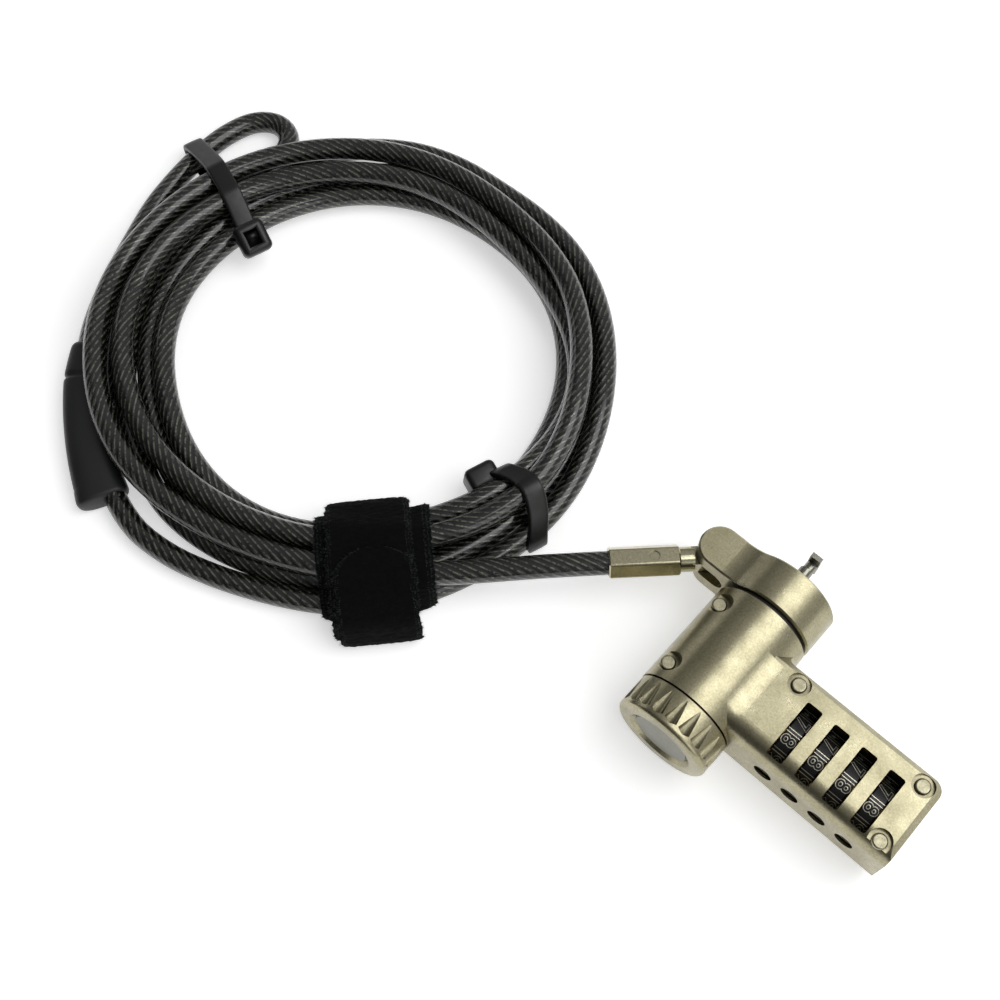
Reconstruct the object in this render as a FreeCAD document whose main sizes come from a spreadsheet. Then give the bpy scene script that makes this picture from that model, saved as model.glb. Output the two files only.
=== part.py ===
import FreeCAD, Part
import math
import os

import Sketcher
from FreeCAD import Placement, Rotation, Vector

# Laptop cable lock: a die-cast head with four number dials, a turning T-bar and a coiled steel cable.
# The origin is on the barrel axis, in the face that rests on the locked device.
# +Y points out along the nose, +X along the row of dials, +Z out of the dial windows.

doc = FreeCAD.newDocument("cable_lock")

# Driving dimensions in millimetres, angles in degrees.
SIZES = [
    ("barrel_radius", 10.5, "barrel of the body, and the collar of the cable arm"),
    ("collar_step", 0.9, "device face to the front of the collar"),
    ("collar_length", 8.9, "collar along the barrel axis"),
    ("washer_space", 1.1, "gap between collar and barrel, filled by the washer"),
    ("washer_inset", 1.3, "washer inside the barrel's outline"),
    ("barrel_length", 23.95, "barrel of the body"),
    ("knob_gap", 0.1, "barrel to knob"),
    ("knob_length", 7.65, "knob along its axis"),
    ("knob_radius", 10.4, "knob outside"),
    ("axial_play", 0.05, "play along the axis of pieces that turn"),
    ("running_gap", 0.05, "radial gap of pieces that turn in a bore"),
    ("seat_gap", 0.02, "radial gap of pieces pressed together"),
    ("neck_radius", 6.0, "neck on which the collar turns"),
    ("flange_radius", 7.4, "flange of the nose guide, which holds the collar on"),
    ("flange_thickness", 1.5, "flange of the nose guide"),
    ("flange_gap", 0.1, "flange to the counterbore of the collar"),
    ("boss_radius", 4.8, "boss that carries the device face"),
    ("spigot_radius", 5.0, "spigot of the nose guide in the neck"),
    ("spigot_length", 3.0, "spigot of the nose guide in the neck"),
    ("guide_width", 2.85, "guide pins across the slot, along X"),
    ("guide_height", 6.6, "guide pins over both ends, along Z"),
    ("guide_length", 3.6, "guide pins out of the device face"),
    ("guide_channel", 2.9, "channel between the guide pins"),
    ("spindle_radius", 4.0, "spindle in the barrel"),
    ("stem_radius", 1.25, "stem of the T-bar"),
    ("stem_grip", 6.4, "stem inside the spindle"),
    ("bar_start", 6.2, "inner face of the T-bar from the device face"),
    ("bar_thickness", 1.1, "T-bar along its stem"),
    ("bar_length", 6.4, "T-bar end to end"),
    ("bar_width", 2.45, "T-bar across"),
    ("cam_radius", 2.15, "eccentric waist of the spindle"),
    ("cam_throw", 1.84, "centre of the waist from the spindle axis"),
    ("cam_width", 4.4, "waist along the spindle"),
    ("knob_socket", 4.6, "spindle inside the knob"),
    ("flute_count", 20, "flutes of the knob"),
    ("flute_radius", 1.5, "flute at its deepest place, from its own axis"),
    ("flute_rise", 0.45, "axis of a flute outside the knob"),
    ("flute_margin", 1.1, "flute from the knob's end face"),
    ("flute_end", 0.7, "steep end of a flute"),
    ("flute_length", 7.2, "flute from its deepest place to its point"),
    ("knob_round", 1.0, "rounding of the knob's end"),
    ("knob_rim", 0.3, "bright chamfer of the knob at the seam"),
    ("recess_radius", 6.3, "recess in the knob's end, at its floor"),
    ("recess_mouth", 7.3, "recess in the knob's end, at its mouth"),
    ("recess_depth", 1.0, "recess in the knob's end"),
    ("disc_radius", 6.1, "disc in the knob's end"),
    ("disc_thickness", 0.45, "disc in the knob's end"),
    ("dial_row", -26.3, "axis of the dials along Y"),
    ("housing_front", -15.5, "dial housing, side towards the nose"),
    ("housing_back", -34.2, "dial housing, side towards the knob"),
    ("housing_end", 46.0, "free end of the dial housing"),
    ("housing_half", 8.0, "half thickness of the dial housing"),
    ("round_extra", 1.5, "knob-side rounding of the window face beyond the barrel's rise over it"),
    ("cover_round", 2.9, "rounding of the back cover on the knob side"),
    ("web_round", 8.0, "hollow between the window face and the barrel"),
    ("web_step", 2.0, "hollow to the housing's front"),
    ("seam_round", 2.2, "rounding between the housing's front and the barrel"),
    ("housing_bevel", 1.3, "bevel of the window face, side towards the nose"),
    ("cover_bevel", 0.8, "bevel of the back cover, side towards the nose"),
    ("housing_corner", 2.5, "upright corner at the free end"),
    ("split_depth", 4.6, "parting plane below the dial axis"),
    ("dial_count", 4, "number dials"),
    ("dial_first", 18.65, "first dial from the barrel axis"),
    ("dial_pitch", 6.38, "dial to dial"),
    ("dial_radius", 7.0, "dial at the ground of its digits"),
    ("dial_width", 3.2, "dial along its axis"),
    ("rib_height", 0.25, "raised ribs of the dial"),
    ("rib_width", 0.9, "raised ribs of the dial"),
    ("rib_top", 0.54, "raised ribs at their top"),
    ("rib_root", 0.3, "ribs into the ground of the dial"),
    ("rib_count", 10, "ribs, one beside each digit"),
    ("dial_side_gap", 0.2, "dial to its pocket, each side"),
    ("dial_tip_gap", 0.15, "rib to its pocket"),
    ("window_width", 3.55, "window along the row"),
    ("window_length", 12.8, "window along the barrel axis"),
    ("window_corner", 0.5, "rounded corners of a window"),
    ("view_hole_radius", 2.0, "round holes in the knob side"),
    ("view_hole_depth", 1.0, "round holes in the knob side"),
    ("ring_radius", 4.35, "code ring outside"),
    ("ring_length", 5.0, "code ring along its axis"),
    ("ring_cup", 3.4, "code ring inside its cups"),
    ("ring_web", 1.1, "web of the code ring"),
    ("journal_gap", 0.08, "code ring to its seats in the shell"),
    ("shaft_radius", 1.75, "dial shaft"),
    ("shaft_end", 39.5, "outer end of the dial shaft"),
    ("shaft_gap", 0.1, "dial shaft to its bores"),
    ("cam_gap", 0.2, "dial shaft to the eccentric waist"),
    ("fin_top", 3.0, "fins of the dial shaft from its axis"),
    ("fin_width", 1.5, "fins across"),
    ("fin_thickness", 0.9, "fins along the shaft"),
    ("fin_offset", 0.85, "fins beyond the middle of each dial"),
    ("notch_width", 1.7, "notch of the code ring"),
    ("notch_top", 3.1, "notch of the code ring from its axis"),
    ("spring_length", 4.0, "shaft spring at rest"),
    ("spring_radius", 1.2, "shaft spring to the middle of its wire"),
    ("spring_wire", 0.4, "wire of the shaft spring"),
    ("spring_turns", 4, "turns of the shaft spring"),
    ("strip_thickness", 0.4, "detent spring"),
    ("strip_face", -17.4, "detent spring, side towards the dials"),
    ("strip_length", 24.9, "detent spring along the row"),
    ("strip_height", 3.5, "detent spring"),
    ("strip_end_gap", 0.8, "detent spring to the end of its cavity, each side"),
    ("strip_drop", 2.0, "detent spring below the dial axis"),
    ("strip_top_gap", 0.2, "detent spring to the roof of its cavity"),
    ("cavity_overlap", 0.5, "cavity of the detent spring into the dial pockets"),
    ("finger_rise", 1.25, "humps of the detent spring"),
    ("finger_half", 1.7, "half length of a hump"),
    ("cavity_wall", 1.2, "front wall behind the detent spring"),
    ("rivet_radius", 1.0, "rivet shank"),
    ("rivet_head", 1.55, "rivet head radius"),
    ("rivet_head_height", 0.7, "rivet head"),
    ("rivet_dome", 0.42, "rounding of a rivet head"),
    ("rivet_recess", 2.35, "recess round a rivet"),
    ("rivet_floor", 7.0, "recess floor in the window face"),
    ("rivet_floor_low", 5.0, "recess floor in the barrel flank"),
    ("rivet_depth", 6.6, "shank end below the dial axis"),
    ("rivet_inner_side", 5.05, "inner face rivet to the first dial, along the row"),
    ("rivet_inner_front", 2.8, "inner face rivet to the housing's front"),
    ("rivet_outer_end", 3.6, "outer face rivets to the housing's free end"),
    ("rivet_outer_front", 2.9, "outer front rivet to the housing's front"),
    ("rivet_outer_back", 2.3, "outer back rivet to the housing's back"),
    ("rivet_flank_inset", 2.5, "flank rivets inside the barrel's outline"),
    ("rivet_flank_front", 4.2, "front flank rivet to the barrel's front"),
    ("rivet_flank_back", 3.95, "back flank rivet to the barrel's back"),
    ("lug_half", 6.0, "half thickness of the fork"),
    ("lug_reach", 19.85, "fork tip from the barrel axis"),
    ("valley_radius", 8.0, "hollow between fork and collar"),
    ("arm_bevel", 0.35, "bevel round the arm"),
    ("fork_half", 2.25, "half height of the fork's slot"),
    ("fork_depth", 10.8, "closed end of the slot from the barrel axis"),
    ("pin_reach", 15.2, "pivot pin from the barrel axis"),
    ("pin_radius", 1.5, "pivot pin"),
    ("pin_bottom", 5.9, "pivot pin below the fork's middle"),
    ("pin_top", 4.4, "pivot pin above the fork's middle"),
    ("pin_chamfer", 0.2, "chamfer of the pivot pin's ends"),
    ("cable_heading", 225.0, "cable end fitting, from +X"),
    ("eye_radius", 2.9, "eye on the pivot pin"),
    ("eye_gap", 0.06, "eye to the pivot pin"),
    ("eye_thickness", 4.0, "eye and tongue"),
    ("tongue_width", 4.0, "tongue behind the eye"),
    ("tongue_root", 0.5, "tongue into the round collar"),
    ("fitting_collar_radius", 2.6, "round collar of the end fitting"),
    ("fitting_collar_start", 5.0, "round collar from the pivot"),
    ("ferrule_start", 7.9, "ferrule from the pivot"),
    ("ferrule_length", 14.5, "ferrule"),
    ("ferrule_flats", 6.0, "ferrule across its flats"),
    ("ferrule_edge", 0.6, "rounding of the ferrule's edges"),
    ("ferrule_chamfer", 0.3, "chamfer of the ferrule's ends"),
    ("ferrule_grip", 11.4, "cable inside the ferrule"),
    ("dimple_radius", 1.1, "crimp mark"),
    ("dimple_start", 5.2, "crimp mark from the ferrule's start"),
    ("dimple_depth", 0.3, "crimp mark"),
    ("cable_radius", 2.5, "covered cable"),
    ("grip_gap", 0.05, "cable to its bore"),
    ("table_level", -10.5, "surface under the lock"),
    ("coil_x", -104.0, "middle of the coil"),
    ("coil_y", -20.0, "middle of the coil"),
    ("coil_start_radius", 56.0, "coil at its lower end"),
    ("coil_end_radius", 52.43, "coil at its upper end"),
    ("coil_pitch", 5.43, "turn to turn, and layer to layer"),
    ("coil_turns", 5, "turns of the coil"),
    ("coil_start_angle", -45.0, "both ends of the coil, from +X"),
    ("wrap_thickness", 0.9, "ties and strap under the coil"),
    ("wrap_gap", 0.1, "ties and strap to the cables over them"),
    ("band_inset", 2.8, "ties inside the innermost turn's middle"),
    ("band_bevel", 1.2, "bevels of ties and strap at their corners"),
    ("tie_width", 3.6, "nylon tie"),
    ("tie_rise", 0.15, "ties over the highest cable"),
    ("tie_head_length", 4.4, "head of a tie, towards the coil's middle"),
    ("tie_head_root", 0.3, "head of a tie into its band"),
    ("tie_head_height", 4.6, "head of a tie, from its top down"),
    ("tie_head_rise", 0.2, "head of a tie over its band"),
    ("tie_head_extra", 1.6, "head of a tie wider than its band"),
    ("tie_socket_far", 3.3, "far side of the socket in the head"),
    ("tie_socket_near", 1.2, "near side of the socket in the head"),
    ("tie_socket_width", 2.592, "socket in the head, along the cables"),
    ("tie_socket_depth", 1.6, "socket in the head"),
    ("first_tie_angle", 169.5, "tie over the coil and the eye, from +X"),
    ("first_tie_reach", 72.0, "far side of that tie from the coil's middle"),
    ("first_shoulder_along", 12.5, "slope of that tie over the eye, outwards"),
    ("first_shoulder_down", 5.4, "slope of that tie over the eye, downwards"),
    ("second_tie_angle", -3.0, "tie over the coil alone, from +X"),
    ("second_tie_gap", 0.3, "that tie to the outermost cable"),
    ("second_shoulder", 4.0, "outer bevel of that tie"),
    ("strap_angle", -42.0, "hook-and-loop strap, from +X"),
    ("strap_width", 17.5, "hook-and-loop strap"),
    ("strap_under_width", 22.0, "under layer of the strap"),
    ("strap_inner_gap", 1.9, "strap inside the ties' inner reach"),
    ("strap_outer_gap", 1.6, "strap outside the outermost cable"),
    ("strap_rise", 0.6, "strap over the highest cable"),
    ("strap_shoulder", 2.5, "outer bevel of the strap"),
    ("over_inner_inset", 1.2, "upper layer short of the strap's inner side"),
    ("over_outer_inset", 2.4, "upper layer short of the strap's outer side"),
    ("layer_overlap", 0.1, "upper layer into the under layer"),
    ("sleeve_width", 10.8, "moulded sleeve, over both cables"),
    ("sleeve_height", 6.2, "moulded sleeve"),
    ("sleeve_lip", 0.7, "wider lip of the sleeve, each side"),
    ("cut_spare", 1.0, "how far a cutting outline runs past the surface that it opens"),
]

sheet = doc.addObject("Spreadsheet::Sheet", "sizes")
for row, (alias, number, note) in enumerate(SIZES, 1):
    sheet.set(f"A{row}", note)
    sheet.set(f"B{row}", str(number))
    sheet.setAlias(f"B{row}", alias)
doc.recompute()


class Size:
    """A size as an expression of the sheet's cells, with the number that it gives now."""

    def __init__(self, text, number):
        self.text = text
        self.number = number

    def joined(self, sign, other, number):
        return Size(f"({self.text} {sign} {as_size(other).text})", number)

    def __add__(self, other):
        return self.joined("+", other, self.number + as_size(other).number)

    def __sub__(self, other):
        return self.joined("-", other, self.number - as_size(other).number)

    def __mul__(self, other):
        return self.joined("*", other, self.number * as_size(other).number)

    def __truediv__(self, other):
        return self.joined("/", other, self.number / as_size(other).number)

    def __neg__(self):
        return Size(f"(0 - {self.text})", -self.number)


def as_size(value):
    """A plain number becomes a Size too."""
    return value if isinstance(value, Size) else Size(f"({value})", value)


def root_of(size):
    """The square root of a size."""
    return Size(f"sqrt({size.text})", math.sqrt(size.number))


def number(alias):
    """The number in the sheet's cell."""
    return float(sheet.get(alias))


class Cells:
    """Gives the sheet's cells as sizes, each by its alias."""

    def __getattr__(self, alias):
        return Size(f"sizes.{alias}", number(alias))


S = Cells()

# Ratios: cosine of 45 degrees, and half a hexagon's side and corner width over half its flats.
DIAGONAL = 0.70711
HEX_SIDE = 0.57735
HEX_CORNER = 1.1547

# Two places count as the same within this distance.
TOUCH = 0.01

# Places along the barrel axis, from the nose to the knob.
collar_front = -S.collar_step
collar_back = collar_front - S.collar_length
collar_middle = collar_front - S.collar_length / 2
barrel_front = collar_back - S.washer_space
barrel_back = barrel_front - S.barrel_length
knob_front = barrel_back - S.knob_gap
knob_back = knob_front - S.knob_length
recess_floor = knob_back + S.recess_depth
neck_end = collar_front - S.flange_thickness
spigot_end = neck_end - S.spigot_length
spindle_front = spigot_end - S.axial_play
spindle_back = knob_front - S.knob_socket

# Radii of the bores that the turning pieces run in.
spindle_bore = S.spindle_radius + S.running_gap
collar_bore = S.neck_radius + S.running_gap
stem_bore = S.stem_radius + S.running_gap
pin_bore = S.pin_radius + S.running_gap
pocket_radius = S.dial_radius + S.rib_height + S.dial_tip_gap
pocket_width = S.dial_width + S.dial_side_gap * 2
ring_seat = S.ring_radius + S.journal_gap
shaft_bore = S.shaft_radius + S.shaft_gap
dial_last = S.dial_first + S.dial_pitch * (S.dial_count - 1)
shaft_start = S.cam_throw * DIAGONAL + S.cam_radius + S.cam_gap
spring_end = S.shaft_end + S.spring_length
parting = -S.split_depth

# The knob-side rounding of the window face, which grows with the barrel's rise over that face.
housing_round = S.barrel_radius - S.housing_half + S.round_extra

# Where the hollow between window face and barrel meets the window face.
web_foot = root_of((S.barrel_radius + S.web_round) * (S.barrel_radius + S.web_round)
                   - (S.housing_half + S.web_round) * (S.housing_half + S.web_round))


def bind(thing, name, size):
    """Sets a property to a size and ties it to the sheet."""
    size = as_size(size)
    thing.setExpression(name, size.text)


def new_body(label):
    body = doc.addObject("PartDesign::Body", label)
    body.Label = label
    return body


def origin_plane(body, role):
    return [plane for plane in body.Origin.OriginFeatures if plane.Role == role][0]


class Outline:
    """A sketch on one of its body's own planes, with every point placed by sizes."""

    def __init__(self, body, role, offset=0.0):
        self.body = body
        self.sketch = body.newObject("Sketcher::SketchObject", f"{body.Name}_outline")
        self.sketch.AttachmentSupport = [(origin_plane(body, role), "")]
        self.sketch.MapMode = "FlatFace"
        offset = as_size(offset)
        self.sketch.AttachmentOffset = Placement(Vector(0, 0, offset.number), Rotation())
        bind(self.sketch, "AttachmentOffset.Base.z", offset)

    def size(self, kind, *place, size):
        """A driving constraint of the sketch, tied to a size."""
        size = as_size(size)
        index = self.sketch.addConstraint(Sketcher.Constraint(kind, *place, size.number))
        bind(self.sketch, f"Constraints[{index}]", size)

    def rule(self, kind, *place):
        """A geometric constraint of the sketch."""
        self.sketch.addConstraint(Sketcher.Constraint(kind, *place))

    def place(self, edge, end, x, y):
        """Puts one end of an edge, or the centre of a circle, at x, y."""
        for kind, axis, size in (("DistanceX", -2, as_size(x)), ("DistanceY", -1, as_size(y))):
            if size.number == 0:
                self.rule("PointOnObject", edge, end, axis)
            else:
                self.size(kind, -1, 1, edge, end, size=size)

    def circle(self, x, y, radius):
        x, y, radius = as_size(x), as_size(y), as_size(radius)
        middle = Vector(x.number, y.number, 0)
        edge = self.sketch.addGeometry(Part.Circle(middle, Vector(0, 0, 1), radius.number))
        self.place(edge, 3, x, y)
        self.size("Radius", edge, size=radius)
        return self

    def polygon(self, *corners):
        """A closed outline of straight edges through the corners (x, y)."""
        corners = [(as_size(x), as_size(y)) for x, y in corners]
        points = [Vector(x.number, y.number, 0) for x, y in corners]
        edges = [self.sketch.addGeometry(Part.LineSegment(start, end))
                 for start, end in zip(points, points[1:] + points[:1])]
        for edge, following, (x, y) in zip(edges, edges[1:] + edges[:1], corners):
            self.rule("Coincident", edge, 2, following, 1)
            self.place(edge, 1, x, y)
        return self

    def box(self, left, right, bottom, top):
        return self.polygon((left, bottom), (right, bottom), (right, top), (left, top))

    def rounded_box(self, left, right, bottom, top, radius):
        """A box whose four corners are arcs of one radius."""
        radius = as_size(radius)
        middles = [(right - radius, top - radius), (left + radius, top - radius),
                   (left + radius, bottom + radius), (right - radius, bottom + radius)]
        arcs = [self.arc_edge((x.number, y.number), radius.number, 90 * turn, 90 * turn + 90)
                for turn, (x, y) in enumerate(middles)]
        for arc, following, (x, y) in zip(arcs, arcs[1:] + arcs[:1], middles):
            start = self.sketch.Geometry[arc].EndPoint
            finish = self.sketch.Geometry[following].StartPoint
            line = self.line_edge((start.x, start.y), (finish.x, finish.y))
            self.rule("Tangent", arc, 2, line, 1)
            self.rule("Tangent", line, 2, following, 1)
            self.place(arc, 3, x, y)
            self.size("Radius", arc, size=radius)
        return self

    def arc_edge(self, middle, radius, start, end):
        """An arc that runs counter-clockwise between two angles in degrees."""
        x, y = middle
        circle = Part.Circle(Vector(x, y, 0), Vector(0, 0, 1), radius)
        return self.sketch.addGeometry(Part.ArcOfCircle(circle, math.radians(start), math.radians(end)))

    def line_edge(self, start, end):
        return self.sketch.addGeometry(Part.LineSegment(Vector(*start, 0), Vector(*end, 0)))


def extrude(outline, kind, length, reverse=False, midplane=False):
    """A Pad or a Pocket of the outline."""
    feature = outline.body.newObject(f"PartDesign::{kind}", f"{outline.body.Name}_{kind}")
    feature.Profile = outline.sketch
    if length is None:
        feature.Type = "ThroughAll"
    else:
        bind(feature, "Length", length)
    feature.Reversed = reverse
    feature.Midplane = midplane
    doc.recompute()
    return feature


def turn(outline, kind, axis):
    """A Revolution or a Groove of the outline about one of its axes."""
    feature = outline.body.newObject(f"PartDesign::{kind}", f"{outline.body.Name}_{kind}")
    feature.Profile = outline.sketch
    feature.ReferenceAxis = (outline.sketch, [axis])
    feature.Angle = 360
    doc.recompute()
    return feature


def repeat_round(body, feature, axis, count):
    """Repeats a feature evenly round one of the body's axes."""
    pattern = body.newObject("PartDesign::PolarPattern", f"{body.Name}_round")
    pattern.Originals = [feature]
    pattern.Axis = (origin_plane(body, axis), [""])
    pattern.Angle = 360
    bind(pattern, "Occurrences", count)
    body.Tip = pattern
    doc.recompute()
    return pattern


def repeat_along(body, feature, pitch, count):
    """Repeats a feature along the body's X axis."""
    pattern = body.newObject("PartDesign::LinearPattern", f"{body.Name}_row")
    pattern.Originals = [feature]
    pattern.Direction = (origin_plane(body, "X_Axis"), [""])
    pattern.Mode = "Spacing"
    bind(pattern, "Offset", pitch)
    bind(pattern, "Occurrences", count)
    body.Tip = pattern
    doc.recompute()
    return pattern


def edges_of(shape, test):
    """Names of the edges whose middle and ends pass the test."""
    return [f"Edge{index}" for index, edge in enumerate(shape.Edges, 1) if test(edge)]


def finish_edges(body, kind, size, test):
    """A Fillet or a Chamfer on the edges of the body's shape that pass the test."""
    base = body.Tip
    feature = body.newObject(f"PartDesign::{kind}", f"{body.Name}_{kind}")
    feature.Base = (base, edges_of(base.Shape, test))
    bind(feature, "Radius" if kind == "Fillet" else "Size", size)
    doc.recompute()
    return feature


def near(value, target):
    return abs(value - target) < TOUCH


def flat_at(edge, axis, level):
    """True for an edge that lies wholly in the plane where the axis has this level."""
    low = getattr(edge.BoundBox, f"{axis}Min")
    high = getattr(edge.BoundBox, f"{axis}Max")
    return near(low, level) and near(high, level)


def make_feature(label, shape):
    """A sub-part whose shape is worked out with Part's own functions."""
    feature = doc.addObject("Part::Feature", label)
    feature.Label = label
    feature.Shape = shape
    return feature


def add_housing(body, top, bottom, bevel, knob_side_round, web=False):
    """The dial housing of one shell: a bar with a bevelled rim and rounded corners."""
    bar = Outline(body, "YZ_Plane").box(S.housing_back, S.housing_front, bottom, top)
    extrude(bar, "Pad", S.housing_end)
    end, front = S.housing_end.number, S.housing_front.number
    finish_edges(body, "Fillet", S.housing_corner, lambda edge:
                 flat_at(edge, "X", end) and flat_at(edge, "Y", front))
    face = max(top.number, bottom.number, key=abs)
    finish_edges(body, "Chamfer", bevel, lambda edge:
                 flat_at(edge, "Z", face) and flat_at(edge, "Y", front))
    if web:
        add_web(body)
    back, foot = S.housing_back.number, web_foot.number
    finish_edges(body, "Fillet", knob_side_round, lambda edge:
                 flat_at(edge, "Y", back) and edge.BoundBox.XMax > foot - TOUCH
                 and min(abs(edge.BoundBox.ZMin), abs(edge.BoundBox.ZMax)) > abs(face) - TOUCH)


def add_web(body):
    """The hollow that joins the window face to the barrel, short of the housing's front."""
    foot, middle_height = web_foot.number, (S.housing_half + S.web_round).number
    share = S.barrel_radius.number / (S.barrel_radius + S.web_round).number
    touch = (foot * share, middle_height * share)
    sketch = Outline(body, "XZ_Plane", -S.housing_back)
    leaning = math.degrees(math.atan2(middle_height, foot))
    arc = sketch.arc_edge((foot, middle_height), S.web_round.number, 180 + leaning, 270)
    side = sketch.line_edge((foot, S.housing_half.number), (foot, 0))
    floor = sketch.line_edge((foot, 0), (0, 0))
    ray = sketch.line_edge((0, 0), touch)
    sketch.rule("Coincident", arc, 2, side, 1)
    sketch.rule("Coincident", side, 2, floor, 1)
    sketch.rule("Coincident", floor, 2, ray, 1)
    sketch.rule("Coincident", ray, 2, arc, 1)
    sketch.rule("Coincident", ray, 1, -1, 1)
    sketch.rule("PointOnObject", arc, 3, ray)
    sketch.rule("Vertical", side)
    sketch.rule("Horizontal", floor)
    sketch.rule("Vertical", arc, 2, arc, 3)
    sketch.place(arc, 3, web_foot, S.housing_half + S.web_round)
    sketch.size("Radius", arc, size=S.web_round)
    extrude(sketch, "Pad", S.housing_front - S.housing_back - S.web_step, reverse=True)


def round_seam(body):
    """Rounds the front end of the housing into the barrel."""
    front, radius = S.housing_front.number, S.barrel_radius.number
    finish_edges(body, "Fillet", S.seam_round, lambda edge:
                 flat_at(edge, "Y", front) and edge.Curve.TypeId == "Part::GeomCircle"
                 and near(edge.Curve.Radius, radius))


def add_barrel(body, lower):
    """The part of the barrel above or below the parting plane."""
    radius = S.barrel_radius.number
    depth = S.split_depth.number
    half = math.sqrt(radius ** 2 - depth ** 2)
    angle = math.degrees(math.asin(depth / radius))
    sketch = Outline(body, "XZ_Plane", -barrel_front)
    start, end = (180 + angle, 360 - angle) if lower else (-angle, 180 + angle)
    arc = sketch.arc_edge((0, 0), radius, start, end)
    chord_ends = ((half, -depth), (-half, -depth)) if lower else ((-half, -depth), (half, -depth))
    chord = sketch.line_edge(*chord_ends)
    sketch.rule("Coincident", arc, 2, chord, 1)
    sketch.rule("Coincident", chord, 2, arc, 1)
    sketch.rule("Coincident", arc, 3, -1, 1)
    sketch.rule("Horizontal", chord)
    sketch.size("Radius", arc, size=S.barrel_radius)
    sketch.size("DistanceY", -1, 1, chord, 1, size=parting)
    extrude(sketch, "Pad", S.barrel_length)


def cut_arch(body, radius, start, end):
    """A seat along the dial axis, round above and open down to the parting plane."""
    sketch = Outline(body, "YZ_Plane", start)
    middle = S.dial_row.number
    reach = as_size(radius).number
    floor_level = parting - S.cut_spare
    deep = floor_level.number
    arc = sketch.arc_edge((middle, 0), reach, 0, 180)
    left = sketch.line_edge((middle - reach, 0), (middle - reach, deep))
    floor = sketch.line_edge((middle - reach, deep), (middle + reach, deep))
    right = sketch.line_edge((middle + reach, deep), (middle + reach, 0))
    sketch.rule("Tangent", arc, 2, left, 1)
    sketch.rule("Coincident", left, 2, floor, 1)
    sketch.rule("Coincident", floor, 2, right, 1)
    sketch.rule("Tangent", right, 2, arc, 1)
    sketch.rule("Horizontal", floor)
    sketch.place(arc, 3, S.dial_row, 0)
    sketch.size("Radius", arc, size=radius)
    sketch.size("DistanceY", -1, 1, floor, 1, size=floor_level)
    return extrude(sketch, "Pocket", as_size(end) - start, reverse=True)


# Rivets: three in the window face, two in the barrel's flank.
RIVETS = [
    (S.dial_first - S.rivet_inner_side, S.housing_front - S.rivet_inner_front, S.rivet_floor),
    (S.housing_end - S.rivet_outer_end, S.housing_front - S.rivet_outer_front, S.rivet_floor),
    (S.housing_end - S.rivet_outer_end, S.housing_back + S.rivet_outer_back, S.rivet_floor),
    (S.rivet_flank_inset - S.barrel_radius, barrel_front - S.rivet_flank_front, S.rivet_floor_low),
    (S.rivet_flank_inset - S.barrel_radius, barrel_back + S.rivet_flank_back, S.rivet_floor_low),
]


def cut_rivet_places(body, shank_start, shank_length, recess):
    """Holes for the shanks and, in the front shell, the recesses round the heads."""
    for x, y, floor in RIVETS:
        if recess:
            rim = Outline(body, "XY_Plane", floor).circle(x, y, S.rivet_recess)
            extrude(rim, "Pocket", S.barrel_radius, reverse=True)
        hole = Outline(body, "XY_Plane", shank_start).circle(x, y, S.rivet_radius + S.seat_gap)
        extrude(hole, "Pocket", shank_length, reverse=True)


def make_front_shell():
    """The deep shell: barrel, neck, housing with windows, and the seats of everything inside."""
    body = new_body("front_shell")
    add_housing(body, S.housing_half, parting, S.housing_bevel, housing_round, web=True)
    add_barrel(body, lower=False)
    round_seam(body)
    neck = Outline(body, "XZ_Plane", -neck_end).circle(0, 0, S.neck_radius)
    extrude(neck, "Pad", neck_end - barrel_front)
    bore = Outline(body, "XZ_Plane", -neck_end).circle(0, 0, spindle_bore)
    extrude(bore, "Pocket", S.barrel_length * 2, reverse=True)
    counterbore = Outline(body, "XZ_Plane", -neck_end).circle(0, 0, S.spigot_radius + S.seat_gap)
    extrude(counterbore, "Pocket", S.spigot_length, reverse=True)
    # The shaft's bore starts inside the spindle's bore.
    cut_arch(body, shaft_bore, S.spindle_radius / 2, spring_end)
    ring_half = S.ring_length / 2 + S.dial_side_gap
    cut_arch(body, ring_seat, S.dial_first - ring_half, dial_last + ring_half)
    pocket = cut_arch(body, pocket_radius, S.dial_first - pocket_width / 2,
                      S.dial_first + pocket_width / 2)
    repeat_along(body, pocket, S.dial_pitch, S.dial_count)
    half = S.window_length / 2
    window = Outline(body, "XY_Plane", 0).rounded_box(
        S.dial_first - S.window_width / 2, S.dial_first + S.window_width / 2,
        S.dial_row - half, S.dial_row + half, S.window_corner)
    repeat_along(body, extrude(window, "Pocket", S.housing_half * 2, reverse=True),
                 S.dial_pitch, S.dial_count)
    hole = Outline(body, "XZ_Plane", -S.housing_back).circle(S.dial_first, 0, S.view_hole_radius)
    repeat_along(body, extrude(hole, "Pocket", S.view_hole_depth, reverse=False),
                 S.dial_pitch, S.dial_count)
    strip_middle = (S.dial_first + dial_last) / 2
    strip_room = S.strip_length / 2 + S.strip_end_gap
    cavity = Outline(body, "XY_Plane", parting).box(
        strip_middle - strip_room, strip_middle + strip_room,
        S.dial_row + pocket_radius - S.cavity_overlap, S.housing_front - S.cavity_wall)
    roof = S.strip_height - S.strip_drop + S.strip_top_gap
    extrude(cavity, "Pocket", S.split_depth + roof, reverse=True)
    cut_rivet_places(body, parting, S.split_depth + S.rivet_floor, recess=True)
    return body


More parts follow.
